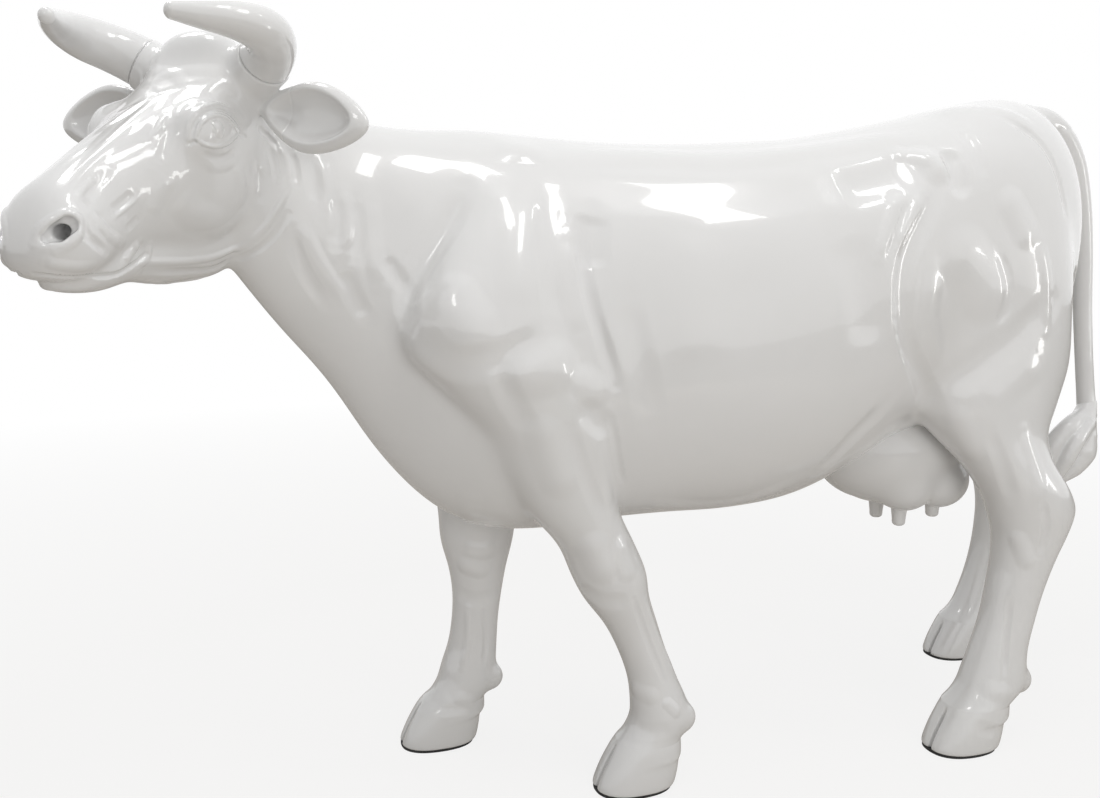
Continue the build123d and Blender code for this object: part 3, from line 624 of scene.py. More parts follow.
headMarks = [
    # brow, temple and the ridge below the poll
    ([(148, 84), (170, 74), (200, 70), (232, 72)], 1.2, 16), ([(150, 96), (176, 88), (206, 84)], -0.8, 12),
    ([(194, 100), (206, 90), (222, 82), (240, 88)], 1, 12), ([(232, 92), (250, 100), (262, 116)], 1, 16),
    ([(224, 98), (238, 106), (248, 122)], -1, 11), ([(160, 92), (152, 120), (150, 150)], -0.8, 14),
    # long edge down the nose and the finer line beside the eye
    ([(158, 96), (134, 118), (112, 140), (86, 168), (62, 198)], 2, 15),
    ([(166, 114), (158, 128), (150, 142)], 1.5, 8), ([(96, 178), (86, 186), (77, 197)], 1.5, 8),
    ([(176, 120), (166, 142), (160, 160)], -2, 10), ([(110, 168), (96, 186), (84, 204)], -2, 12),
    # cheek
    ([(134, 193), (124, 202), (112, 212)], -3, 12), ([(138, 196), (126, 208), (114, 217)], 1.5, 6),
    ([(139, 217), (133, 223), (127, 229)], -1.5, 9), ([(170, 176), (160, 196), (150, 214)], 2, 18),
    ([(178, 196), (196, 216), (226, 226)], 3, 34), ([(180, 240), (205, 238), (230, 226), (252, 206)], 2, 20),
    ([(250, 160), (262, 182), (264, 206)], -2, 18), ([(236, 160), (242, 186), (240, 210)], 2, 18),
    # sharp lower edge of the cheek with the hollow below it
    ([(136, 262), (165, 262), (190, 261), (214, 257), (238, 248), (262, 231), (279, 206), (289, 184)], 3.8, 9),
    ([(145, 271), (190, 271), (218, 267), (244, 257), (270, 240), (288, 214)], -4.5, 10),
    ([(150, 281), (186, 281), (222, 279)], 3, 12),
    # muzzle, mouth and lips
    ([(78, 218), (90, 238), (106, 252)], -3.8, 11), ([(92, 214), (108, 234), (122, 244)], 3, 13),
    ([(44, 262), (64, 266), (92, 266)], 3, 12),
    ([(34, 274), (50, 276), (78, 277), (104, 276), (120, 273), (134, 264), (146, 254)], -6.8, 6),
    ([(139, 242), (131, 252), (124, 262)], 4.5, 11), ([(150, 244), (148, 256), (138, 268)], 2.2, 9),
    ([(46, 285), (66, 289), (92, 288)], 3, 13),
    # nostril with its raised wing
    ([(33, 244), (39, 229), (52, 219), (66, 213), (78, 217), (81, 229), (72, 243), (56, 252)], 3.8, 10),
    # folds under the ear
    ([(270, 148), (275, 164), (277, 180)], -4.5, 10), ([(280, 146), (286, 162), (288, 180)], 3.8, 10),
    ([(258, 128), (268, 136), (276, 146)], -3.8, 9), ([(292, 152), (296, 168), (296, 184)], -3.8, 10),
]

# The nostril: a slit from one place to the next with a deep hole, sunk into the muzzle; half widths in millimetres
nostrilSettings = {
    "slit": [(45, 238), (57, 232), (69, 224)], "half": (7, 11.5, 12.5), "sunk": 4, "depth": 45, "hole": 11,
}

eyeMarks = [
    # lids drawn round the left eye
    ([(196, 139), (199, 127), (206, 119), (216, 115.5), (226, 118), (233, 125), (238, 133)], 5.5, 4.5),
    ([(191, 140), (194, 126), (203, 114), (217, 109.5), (231, 115), (241, 128)], -3, 4),
    ([(187, 137), (190, 122), (201, 109), (217, 104), (233, 110)], 2.5, 7),
    ([(197, 140), (206, 145), (218, 146.5), (229, 142.5), (238, 134)], 4.5, 4.5), ([(197, 141), (188, 144)], -4, 4),
    ([(238, 134), (246, 136)], -2.5, 4), ([(202, 152), (212, 157), (224, 157), (235, 150)], -1.5, 8),
    ([(204, 163), (214, 167), (226, 166), (238, 156)], 1.8, 12),
]


def castOn(field, spots):
    # Where the camera's rays through these places meet the surface
    rays = pixelRays(spots)
    start = np.array(cameraSettings["place"])
    reach = np.full(len(spots), 0.8)
    for _ in range(48):
        reach = reach + np.clip(field(start + rays * reach[:, None], 0.4) * 0.85, -0.02, 0.12)
    return start + rays * reach[:, None], reach


def layMarks(field, marks, mirror=None):
    # Marks in the picture become lines on the surface, with a copy on the other side
    spots = np.concatenate([np.array(mark[0], float) for mark in marks])
    places, reach = castOn(field, spots)
    laid, first = [], 0
    for path, height, width in marks:
        line = places[first:first + len(path)]
        ok = reach[first:first + len(path)] < 4.0
        first += len(path)
        if ok.sum() < 2:
            print("mark misses the surface:", path[0])
            continue
        for flip in ([None, mirror] if mirror else [None]):
            run = splineThrough(flip(line[ok]) if flip else line[ok], 3 if ok.sum() > 2 else 1)
            laid.append((run, height / 1000, width / 1000, run.min(0) - width / 1000, run.max(0) + width / 1000))
    return laid


def nostrilParts(field):
    # What the two nostrils take out of the muzzle
    places = castOn(field, np.array(nostrilSettings["slit"], float))[0]
    inward = -slopeOf(field, places)
    inward /= np.linalg.norm(inward, axis=1)[:, None]
    slit = places + inward * nostrilSettings["sunk"] / 1000
    hole = np.array([slit[1], slit[1] + (inward[1] + headTurn[:, 0] * -0.5) * nostrilSettings["depth"] / 1000])
    parts = []
    for line, half in ((slit, nostrilSettings["half"]), (hole, (nostrilSettings["hole"],) * 2)):
        for path in (line, otherCheek(line)):
            radii = np.array(half) / 1000
            parts.append((lambda p, path=path, radii=radii: tubeField(p, path, radii),
                          *grown(path.min(0), path.max(0), 0.045), 0.010))
    return parts


def otherFlank(line):
    return line * np.array([1, -1, 1])


def otherCheek(line):
    return fromHead(toHead(line) * np.array([1, -1, 1]))


def markHeight(p, mark):
    line, height, width, low, high = mark
    result = np.zeros(len(p))
    close = np.flatnonzero((p >= low).all(1) & (p <= high).all(1))
    if not len(close):
        return result
    d, along = nearLine(p[close], line)
    rise = np.clip(1 - (d / width) ** 2, 0, 1) ** 2
    # the ends of a long mark fade out
    fade = np.clip(along / 0.22, 0, 1) * np.clip((1 - along) / 0.22, 0, 1)
    length = np.linalg.norm(np.diff(line, axis=0), axis=1).sum()
    if length > 2.5 * width:
        rise = rise * (0.15 + 0.85 * fade * fade * (3 - 2 * fade)) ** 0.7
    result[close] = height * rise
    return result


# Meshing: a grid of samples near the surface, one vertex in each crossed cell

def inGroups(field, p, size=0.09):
    # Samples sorted into compact groups, so that each group meets only the forms near it
    cell = np.floor(p / size).astype(np.int64)
    cell -= cell.min(0)
    code = (cell[:, 0] * (cell[:, 1].max() + 1) + cell[:, 1]) * (cell[:, 2].max() + 1) + cell[:, 2]
    order = np.argsort(code, kind="stable")
    edges = np.flatnonzero(np.diff(code[order])) + 1
    result = np.empty(len(p))
    for group in np.split(order, edges):
        result[group] = field(p[group])
    return result


class Form:
    # A set of solid forms that melt together, with marks on top and hollows taken out
    def __init__(self, parts, marks=(), hollows=()):
        self.parts, self.hollows = parts, hollows
        self.marks = list(marks)
        self.low = np.array([mark[3] for mark in self.marks]).reshape(-1, 3)
        self.high = np.array([mark[4] for mark in self.marks]).reshape(-1, 3)

    def near(self, p):
        low, high = p.min(0), p.max(0)
        f = np.full(len(p), 1.0)
        for part, partLow, partHigh, blend in self.parts:
            if (low <= partHigh).all() and (high >= partLow).all():
                f = softMin(f, part(p), blend)
        if len(self.marks):
            for i in np.flatnonzero((self.low <= high).all(1) & (self.high >= low).all(1)):
                f = f - markHeight(p, self.marks[i])
        for part, partLow, partHigh, blend in self.hollows:
            if (low <= partHigh).all() and (high >= partLow).all():
                f = softMax(f, -part(p), blend)
        return f

    def __call__(self, p, size=0.09):
        return inGroups(self.near, p, size)


def surfaceOf(form, low, high, cell, block=16):
    low, high = np.array(low, float), np.array(high, float)
    blocks = np.ceil((np.ceil((high - low) / cell) + 1) / block).astype(int)
    values = np.full(blocks * block + 1, 1.0, np.float32)
    middles = [(np.arange(k) + 0.5) * block * cell for k in blocks]
    middles = np.stack(np.meshgrid(*middles, indexing="ij"), -1).reshape(-1, 3) + low
    rough = form(middles)
    corner = np.stack(np.unravel_index(np.arange(len(middles)), blocks), -1) * block
    ticks = np.arange(block + 1) * cell
    local = np.stack(np.meshgrid(ticks, ticks, ticks, indexing="ij"), -1).reshape(-1, 3)
    for i, j, k in corner[rough < 0]:
        values[i:i + block + 1, j:j + block + 1, k:k + block + 1] = -1
    for n in np.flatnonzero(np.abs(rough) < block * cell * 1.2 + 0.02):
        i, j, k = corner[n]
        sample = form.near(low + corner[n] * cell + local).reshape((block + 1,) * 3)
        values[i:i + block + 1, j:j + block + 1, k:k + block + 1] = sample
    return skinOf(values, low, cell)


def skinOf(values, low, cell):
    inside = values < 0
    size = np.array(inside.shape) - 1
    corners = [(a, b, c) for a in (0, 1) for b in (0, 1) for c in (0, 1)]
    count = sum(inside[a:a + size[0], b:b + size[1], c:c + size[2]].astype(np.int8) for a, b, c in corners)
    crossed = np.flatnonzero(((count > 0) & (count < 8)).ravel())
    place = np.stack(np.unravel_index(crossed, size), -1)
    number = np.full(count.size, -1, np.int32)
    number[crossed] = np.arange(len(crossed))
    number = number.reshape(size)
    at = {c: values[place[:, 0] + c[0], place[:, 1] + c[1], place[:, 2] + c[2]].astype(float) for c in corners}
    total, hits = np.zeros((len(crossed), 3)), np.zeros(len(crossed))
    for a in corners:
        for axis in range(3):
            if a[axis]:
                continue
            b = tuple(1 if k == axis else a[k] for k in range(3))
            cut = (at[a] < 0) != (at[b] < 0)
            t = np.where(cut, at[a] / np.where(cut, at[a] - at[b], 1), 0)
            spot = np.tile(np.array(a, float), (len(crossed), 1))
            spot[:, axis] += t
            total += spot * cut[:, None]
            hits += cut
    vertices = (place + total / hits[:, None]) * cell + low
    quads = []
    for axis in range(3):
        u, v = [(1, 2), (2, 0), (0, 1)][axis]
        first, second = [slice(None)] * 3, [slice(None)] * 3
        first[axis], second[axis] = slice(0, -1), slice(1, None)
        edge = np.argwhere(inside[tuple(first)] != inside[tuple(second)])
        ok = (edge[:, u] > 0) & (edge[:, v] > 0) & (edge[:, u] < size[u]) & (edge[:, v] < size[v])
        edge = edge[ok]
        starts = inside[edge[:, 0], edge[:, 1], edge[:, 2]]
        ring = []
        for du, dv in ((1, 1), (0, 1), (0, 0), (1, 0)):
            q = edge.copy()
            q[:, u] -= du
            q[:, v] -= dv
            ring.append(number[q[:, 0], q[:, 1], q[:, 2]])
        quad = np.stack(ring, -1)
        quad[~starts] = quad[~starts][:, ::-1]
        quads.append(quad)
    quads = np.concatenate(quads)
    return vertices, quads[(quads >= 0).all(1)]


def slopeOf(form, p, step=0.0006):
    slope = np.empty_like(p)
    for k in range(3):
        shift = np.zeros(3)
        shift[k] = step
        slope[:, k] = (form(p + shift) - form(p - shift)) / (2 * step)
    return slope


def settled(form, p, cell):
    # Vertices drawn onto the true surface
    value = form(p)
    slope = np.stack([form(p + np.eye(3)[k] * 0.0008) - value for k in range(3)], 1) / 0.0008
    move = np.clip(value / np.maximum((slope * slope).sum(1), 0.05), -0.7 * cell, 0.7 * cell)
    return p - slope * move[:, None]


def cutMesh(data, cuts=()):
    # Keeps the side that each plane's direction points to, closes the cut with a face and turns all faces outwards
    mesh = bmesh.new()
    mesh.from_mesh(data)
    for place, direction in cuts:
        geometry = mesh.verts[:] + mesh.edges[:] + mesh.faces[:]
        result = bmesh.ops.bisect_plane(mesh, geom=geometry, dist=1e-7, plane_co=Vector(place),
                                        plane_no=Vector(direction), clear_inner=True)
        rim = [e for e in result["geom_cut"] if isinstance(e, bmesh.types.BMEdge) and e.is_valid and e.is_boundary]
        closed = bmesh.ops.holes_fill(mesh, edges=rim, sides=0)["faces"]
        bmesh.ops.triangulate(mesh, faces=closed)
    bmesh.ops.recalc_face_normals(mesh, faces=mesh.faces)
    mesh.to_mesh(data)
    mesh.free()


def largestPart(vertices, quads):
    # Drops loose scraps: labels spread over the faces until each connected skin has one
    label = np.arange(len(vertices))
    while True:
        low = label[quads].min(1)
        fresh = label.copy()
        for k in range(4):
            np.minimum.at(fresh, quads[:, k], low)
        fresh = fresh[fresh]
        if (fresh == label).all():
            break
        label = fresh
    names, counts = np.unique(label[quads[:, 0]], return_counts=True)
    keep = quads[label[quads[:, 0]] == names[counts.argmax()]]
    used = np.unique(keep)
    number = np.full(len(vertices), -1)
    number[used] = np.arange(len(used))
    return vertices[used], number[keep]


def skinObject(name, form, low, high, cell, cuts=()):
    # One closed piece of the skin, with its true surface directions as normals
    cell = cell * 1
    vertices, quads = surfaceOf(form, low, high, cell)
    vertices, quads = largestPart(settled(form, vertices, cell), quads)
    mesh = bpy.data.meshes.new(name)
    mesh.from_pydata(vertices.tolist(), [], quads.tolist())
    if cuts:
        cutMesh(mesh, cuts)
    mesh.polygons.foreach_set("use_smooth", np.ones(len(mesh.polygons), bool))
    spots = np.empty(len(mesh.vertices) * 3)
    mesh.vertices.foreach_get("co", spots)
    spots = spots.reshape(-1, 3)
    slope = slopeOf(form, spots)
    slope /= np.linalg.norm(slope, axis=1)[:, None] + 1e-12
    mesh.vertices.foreach_set("co", (spots + withers).ravel())
    mesh.update()
    mesh.normals_split_custom_set_from_vertices(slope.tolist())
    print(name, "faces:", len(mesh.polygons))
    return linked(name, mesh)


# Melted forms

def earStub(p, side):
    # The root of an ear as part of the head: it draws in under the ear's own piece
    s = fromRoot(p, side)
    ramp = np.clip((s - 0.034) / 0.012, 0, 1)
    return softMax(earField(p, side) + 0.004 * ramp, s - 0.070, 0.004)


def earOwn(p, side):
    return earField(p, side) + 0.0012 * np.clip((0.040 - fromRoot(p, side)) / 0.010, 0, 1)


# The bony ring that carries an eye
orbitSettings = {"middle": (0.170, 0.081, -0.056), "half": (0.058, 0.036, 0.046)}


def orbitField(p, side):
    return egg(p, fromHead(sideways(orbitSettings["middle"], side)), orbitSettings["half"], headTurn)


def tailStub(p):
    ramp = np.clip((1.440 - p[:, 2]) / 0.03, 0, 1)
    return softMax(tailField(p) + 0.004 * ramp, 1.370 - p[:, 2], 0.004)


def tailOwn(p):
    return tailField(p) + 0.0012 * np.clip((p[:, 2] - 1.425) / 0.012, 0, 1)


# Two small claws behind each fetlock
dewclawSettings = {
    "places": [(0.458, -0.165), (0.124, 0.170), (1.288, -0.237), (1.663, 0.223)],
    "apart": 0.023, "level": 0.146, "half": (0.026, 0.019, 0.028), "tilt": 0.5, "blend": 0.030,
}


def dewclawParts():
    parts = []
    tilt = np.array(Euler((0, dewclawSettings["tilt"], 0)).to_matrix())
    for x, y in dewclawSettings["places"]:
        for side in (-1, 1):
            middle = (x, y + side * dewclawSettings["apart"], dewclawSettings["level"])
            parts.append((lambda p, middle=middle: egg(p, middle, dewclawSettings["half"], tilt),
                          *grown(middle, middle, 0.07), dewclawSettings["blend"]))
    return parts


bodyParts = makeParts() + dewclawParts()
bodyParts.append((tailStub, *grown((1.40, -0.04, 1.36), (1.64, 0.04, 1.50), 0.04), 0.045))
for side in (1, -1):
    middle = fromHead(sideways(orbitSettings["middle"], side))
    bodyParts.append((lambda p, side=side: orbitField(p, side), *grown(middle, middle, 0.12), 0.028))
    middle = fromHead(sideways(earSettings["root"], side))
    bodyParts.append((lambda p, side=side: earStub(p, side), *grown(middle, middle, 0.13), 0.024))

plain = Form(bodyParts)
print("forms:", len(bodyParts))
marks = layMarks(plain, bodyMarks, otherFlank) + layMarks(plain, farMarks)
marks += layMarks(plain, headMarks, otherCheek) + layMarks(plain, eyeMarks, otherCheek)
animal = Form(bodyParts, marks, nostrilParts(plain))
print("marks:", len(marks))

# Where the skin is divided: head from neck, neck from body, body in halves, legs under it, hooves
headCut = np.array([0.894, 0.0, 0.447])
cuts = {
    "head": (fromHead(headCut * -0.045), headTurn @ headCut),
    "neck": ((trunkStart, 0, 0), (-1, 0, 0)),
    "left": ((0, 0, 0), (0, -1, 0)),
    "leg": ((0, 0, 0.53), (0, 0, -1)),
    "hoof": ((0, 0, hoofSettings["height"]), (0, 0, -1)),
}


def other(cut):
    place, direction = cuts[cut]
    return place, -np.array(direction, float)


def finished(thing, *nodes):
    # Rides on the body and stands for its nodes of the part
    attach(thing, "root")
    if nodes:
        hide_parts(*nodes)
    return thing


# How fine each piece is, in metres between its samples
fineness = {"head": 0.0029, "neck": 0.0046, "trunk": 0.0062, "leg": 0.0040, "hoof": 0.0027, "ear": 0.0024,
            "eye": 0.0013, "tail": 0.0036, "switch": 0.0030, "udder": 0.0044}

corners = fromHead([(x, y, z) for x in (-0.09, 0.53) for y in (-0.20, 0.20) for z in (-0.36, 0.06)])
finished(skinObject("head", animal, corners.min(0), corners.max(0), fineness["head"], [cuts["head"]]), "head_shell")
finished(skinObject("neck", animal, (-0.60, -0.40, 0.50), (-0.10, 0.40, 1.50), fineness["neck"],
                    [other("head"), cuts["neck"]]), "neck_shell")
for name, low, high, cut in (("left", -0.42, 0.015, cuts["left"]), ("right", -0.015, 0.42, other("left"))):
    piece = skinObject("trunk_" + name + "_skin", animal, (-0.14, low, 0.50), (1.68, high, 1.56), fineness["trunk"],
                       [other("neck"), cut, other("leg")])
    finished(piece, "trunk_" + name)
for leg in legSettings:
    rows = np.array(legSettings[leg])
    rows = rows[rows[:, 0] < 0.62]
    low = np.array([(rows[:, 1] - rows[:, 3]).min() - 0.04, (rows[:, 2] - rows[:, 4]).min() - 0.03, 0.085])
    high = np.array([(rows[:, 1] + rows[:, 3]).max() + 0.05, (rows[:, 2] + rows[:, 4]).max() + 0.03, 0.555])
    finished(skinObject(leg + "_skin", animal, low, high, fineness["leg"], [cuts["leg"], other("hoof")]), leg)
    cx, cy = hoofSettings[leg]
    low, high = (cx - 0.11, cy - 0.09, -0.01), (cx + 0.13, cy + 0.09, 0.12)
    finished(skinObject(leg + "_hoof_skin", animal, low, high, fineness["hoof"], [cuts["hoof"]]), leg + "_hoof")

for name, side in (("left", 1), ("right", -1)):
    root, tip, turn = earFrames[side]
    low, high = grown(np.minimum(root, tip), np.maximum(root, tip), 0.085)
    finished(skinObject("ear_" + name + "_leaf", Form([(lambda p, side=side: earOwn(p, side), low, high, 0.01)]),
                        low, high, fineness["ear"]), "ear_" + name)


# A ball with a pit for the pupil and a fine ring round it: radius or half width, then depth
eyeMarkSettings = {"pupil": (0.0030, 0.0026), "ring": 0.0115, "ringCut": (0.0024, 0.0010)}


def eyeField(p, side):
    middle = fromHead(sideways(headSettings["eye"], side))
    gaze = np.array(cameraSettings["place"]) - fromHead(headSettings["eye"])
    gaze = headTurn @ sideways(headTurn.T @ (gaze / np.linalg.norm(gaze)), side)
    d = p - middle
    f = np.linalg.norm(d, axis=1) - headSettings["eyeRadius"]
    off = np.linalg.norm(d - (d @ gaze)[:, None] * gaze, axis=1)
    ahead = (d @ gaze) > 0
    for middle, (half, depth) in ((0, eyeMarkSettings["pupil"]), (eyeMarkSettings["ring"], eyeMarkSettings["ringCut"])):
        f = f + np.where(ahead, np.clip(1 - ((off - middle) / half) ** 2, 0, 1) ** 2 * depth, 0)
    return f


for name, side in (("left", 1), ("right", -1)):
    middle = fromHead(sideways(headSettings["eye"], side))
    low, high = grown(middle, middle, 0.032)
    finished(skinObject("eye_" + name + "_ball", Form([(lambda p, side=side: eyeField(p, side), low, high, 0.01)]),
                        low, high, fineness["eye"]), "eye_" + name)


def hornPiece(name, side):
    # A smooth horn on a peg, with a fine joint on its collar. The first stretch of its path lies in the collar
    steps, around = hornSettings["steps"], hornSettings["around"]
    line = splineThrough(fromHead(sideways(hornSettings["path"], side)), steps)
    radii = np.interp(np.linspace(0, 1, len(line)), np.linspace(0, 1, len(hornSettings["radii"])),
                      hornSettings["radii"])
    radii = np.convolve(np.pad(radii, 12, mode="reflect", reflect_type="odd"), np.ones(25) / 25, mode="valid")
    line, radii = line[steps:], radii[steps:]
    heading = np.gradient(line, axis=0)
    heading /= np.linalg.norm(heading, axis=1)[:, None]
    # how far along the first heading each ring of the joint is, and its radius
    joint = [(-hornSettings["pegLength"], hornSettings["pegRadius"]), (0.0002, 0.030), (0.0008, radii[0] - 0.0040),
             (0.0012, radii[0] - 0.0018), (0.0022, radii[0] - 0.0006), (0.0036, radii[0])]
    rings = [(line[0] + heading[0] * step, heading[0], r) for step, r in joint]
    rings += [(line[i], heading[i], radii[i]) for i in range(2, len(line) - 1)]
    last, way, r = line[-1], heading[-1], radii[-1]
    apex = last + way * r * hornSettings["tipLength"]
    for turn in np.linspace(0, math.pi / 2, hornSettings["tipRings"])[1:-1]:
        rings.append((last + (apex - last) * math.sin(turn), way, r * math.cos(turn)))
    spots, faces = [], []
    across = np.cross(rings[0][1], headTurn[:, 0])
    for place, way, r in rings:
        across = across - way * (across @ way)
        across /= np.linalg.norm(across)
        upward = np.cross(way, across)
        for angle in 2 * math.pi * np.arange(around) / around:
            spots.append(place + r * (math.cos(angle) * across + math.sin(angle) * upward))
    top = (len(rings) - 1) * around
    for k in range(around):
        after = (k + 1) % around
        for i in range(0, top, around):
            faces.append((i + k, i + after, i + after + around, i + k + around))
        faces += [(len(spots), after, k), (len(spots) + 1, top + k, top + after)]
    mesh = bpy.data.meshes.new("horn_" + name + "_smooth")
    mesh.from_pydata((np.array(spots + [rings[0][0], apex]) + withers).tolist(), [], faces)
    cutMesh(mesh)
    mesh.polygons.foreach_set("use_smooth", np.ones(len(mesh.polygons), bool))
    return finished(linked(mesh.name, mesh), "horn_" + name)


hornPiece("left", 1)
hornPiece("right", -1)
print("head pieces done")


switchLines = [(splineThrough(strand["path"], 8), strand["radii"]) for strand in tailSettings["strands"]]
switchLines = [(line, np.interp(np.linspace(0, 1, len(line)), np.linspace(0, 1, len(radii)), radii))
               for line, radii in switchLines]


def switchField(p):
    # The hanging switch: locks that lie against each other with a crease between them
    f = np.full(len(p), 1.0)
    for line, radii in switchLines:
        f = softMin(f, tubeField(p, line, radii), 0.010)
    return f


tailForm = Form([(tailOwn, *grown((1.42, -0.05, 0.70), (1.73, 0.05, 1.50), 0.03), 0.01)])
finished(skinObject("tail_rope", tailForm, (1.42, -0.06, 0.66), (1.74, 0.06, 1.52), fineness["tail"]), "tail")
switchForm = Form([(switchField, *grown((1.50, -0.12, 0.49), (1.73, 0.06, 0.78), 0.02), 0.01)])
finished(skinObject("tail_switch_lobe", switchForm, (1.49, -0.15, 0.47), (1.75, 0.08, 0.80), fineness["switch"]),
         "tail_switch")
udderForm = Form([(udderField, (0.85, -0.20, 0.50), (1.34, 0.20, 0.85), 0.01)])
finished(skinObject("udder_bag", udderForm, (0.85, -0.20, 0.49), (1.34, 0.20, 0.85), fineness["udder"]), "udder")


# Teats: one tree puts a tapered teat with a ring at its end on each point

teatTreeSettings = {"Radius": 0.0235, "Length": 0.082, "Taper": 0.62}


def fed(tree, node, inputs):
    # Sets a node's inputs: to values, or linked from other nodes' outputs
    for name, value in inputs.items():
        if isinstance(value, bpy.types.NodeSocket):
            tree.links.new(value, node.inputs[name])
        else:
            node.inputs[name].default_value = value
    return node


def added(tree, kind, inputs=None, operation=None):
    node = tree.nodes.new(kind)
    if operation:
        node.operation = operation
    return fed(tree, node, inputs or {})


def teatTree(material):
    tree = bpy.data.node_groups.new("teats on points", "GeometryNodeTree")
    face = tree.interface
    face.new_socket("Geometry", in_out="INPUT", socket_type="NodeSocketGeometry")
    for name in teatTreeSettings:
        face.new_socket(name, in_out="INPUT", socket_type="NodeSocketFloat")
    face.new_socket("Geometry", in_out="OUTPUT", socket_type="NodeSocketGeometry")
    given = added(tree, "NodeGroupInput").outputs
    # a lathe profile: a curve line with a radius run, swept by a circle
    drop = added(tree, "ShaderNodeMath", {0: given["Length"], 1: -1.0}, "MULTIPLY")
    foot = added(tree, "ShaderNodeCombineXYZ", {"Z": drop.outputs[0]})
    line = added(tree, "GeometryNodeCurvePrimitiveLine", {"End": foot.outputs[0]})
    fine = added(tree, "GeometryNodeResampleCurve", {"Curve": line.outputs["Curve"], "Count": 40})
    factor = added(tree, "GeometryNodeSplineParameter").outputs["Factor"]
    shape = added(tree, "ShaderNodeFloatCurve", {"Value": factor})
    points = shape.mapping.curves[0].points
    points[0].location, points[1].location = (0.0, 1.0), (1.0, 0.02)
    for spot in ((0.45, 0.98), (0.80, 0.96), (0.89, 0.98), (0.95, 0.84), (0.985, 0.48)):
        points.new(*spot)
    shape.mapping.update()
    wide = added(tree, "ShaderNodeMath", {0: shape.outputs[0], 1: given["Radius"]}, "MULTIPLY")
    taper = added(tree, "ShaderNodeMapRange", {"Value": factor, "To Min": 1.0, "To Max": given["Taper"]})
    both = added(tree, "ShaderNodeMath", {0: wide.outputs[0], 1: taper.outputs["Result"]}, "MULTIPLY")
    radius = added(tree, "GeometryNodeSetCurveRadius", {"Curve": fine.outputs["Curve"], "Radius": both.outputs[0]})
    circle = added(tree, "GeometryNodeCurvePrimitiveCircle", {"Resolution": 40, "Radius": 1.0})
    sweep = added(tree, "GeometryNodeCurveToMesh", {"Curve": radius.outputs["Curve"],
                                                    "Profile Curve": circle.outputs["Curve"], "Fill Caps": True})
    if "Scale" in sweep.inputs:
        fed(tree, sweep, {"Scale": added(tree, "GeometryNodeInputRadius").outputs[0]})
    place = added(tree, "GeometryNodeInstanceOnPoints", {"Points": given["Geometry"],
                                                         "Instance": sweep.outputs["Mesh"]})
    real = added(tree, "GeometryNodeRealizeInstances", {"Geometry": place.outputs["Instances"]})
    smooth = added(tree, "GeometryNodeSetShadeSmooth", {"Geometry": real.outputs["Geometry"]})
    coat = added(tree, "GeometryNodeSetMaterial", {"Geometry": smooth.outputs["Geometry"], "Material": material})
    added(tree, "NodeGroupOutput", {"Geometry": coat.outputs["Geometry"]})
    return tree


def makeTeats(material):
    # The points sit inside the udder, one above each teat's end
    spots = bpy.data.meshes.new("teat points")
    places = [np.array((x, y, z + teatTreeSettings["Length"])) + withers for x, y, z in udderSettings["teats"]]
    spots.from_pydata([tuple(place) for place in places], [], [])
    carrier = linked("teat carrier", spots)
    modifier = carrier.modifiers.new("teats", "NODES")
    tree = teatTree(material)
    modifier.node_group = tree
    for item in tree.interface.items_tree:
        if item.item_type == "SOCKET" and item.in_out == "INPUT" and item.name in teatTreeSettings:
            modifier[item.identifier] = teatTreeSettings[item.name]
    graph = bpy.context.evaluated_depsgraph_get()
    mesh = bpy.data.meshes.new_from_object(carrier.evaluated_get(graph))
    mesh.name = "teat_set"
    carrier.modifiers.remove(modifier)
    bpy.data.objects.remove(carrier)
    return finished(linked("teat_set", mesh), "teats")


# Finishes. Effects that more than one finish uses are node groups that give values, colours or normals

def nodeGroup(name, inputs, output):
    group = bpy.data.node_groups.new(name, "ShaderNodeTree")
    group.interface.new_socket("Vector", in_out="INPUT", socket_type="NodeSocketVector")
    for label, value in inputs.items():
        group.interface.new_socket(label, in_out="INPUT", socket_type="NodeSocketFloat").default_value = value
    group.interface.new_socket(output, in_out="OUTPUT", socket_type="NodeSocketFloat")
    return group, added(group, "NodeGroupInput").outputs


def rippleGroup():
    # The faint waviness of a sprayed coat, as a height
    group, given = nodeGroup("coat ripple", {"Scale": 60.0, "Wave": 4.0}, "Height")
    fine, wave = (added(group, "ShaderNodeTexNoise", {"Vector": given["Vector"], "Scale": given[scale],
                                                      "Detail": detail}).outputs["Fac"]
                  for scale, detail in (("Scale", 2.0), ("Wave", 1.0)))
    height = added(group, "ShaderNodeMath", {0: fine, 1: 0.12, 2: wave}, "MULTIPLY_ADD")
    added(group, "NodeGroupOutput", {"Height": height.outputs[0]})
    return group


def hazeGroup():
    # Uneven polish and settled dust: a mask from 0 to 1
    group, given = nodeGroup("haze", {"Scale": 3.0, "Low": 0.45, "High": 0.75}, "Mask")
    noise = added(group, "ShaderNodeTexNoise", {"Vector": given["Vector"], "Scale": given["Scale"], "Detail": 5.0})
    span = added(group, "ShaderNodeMapRange", {"Value": noise.outputs["Fac"], "From Min": given["Low"],
                                               "From Max": given["High"]})
    added(group, "NodeGroupOutput", {"Mask": span.outputs["Result"]})
    return group


coatRipple, haze = rippleGroup(), hazeGroup()


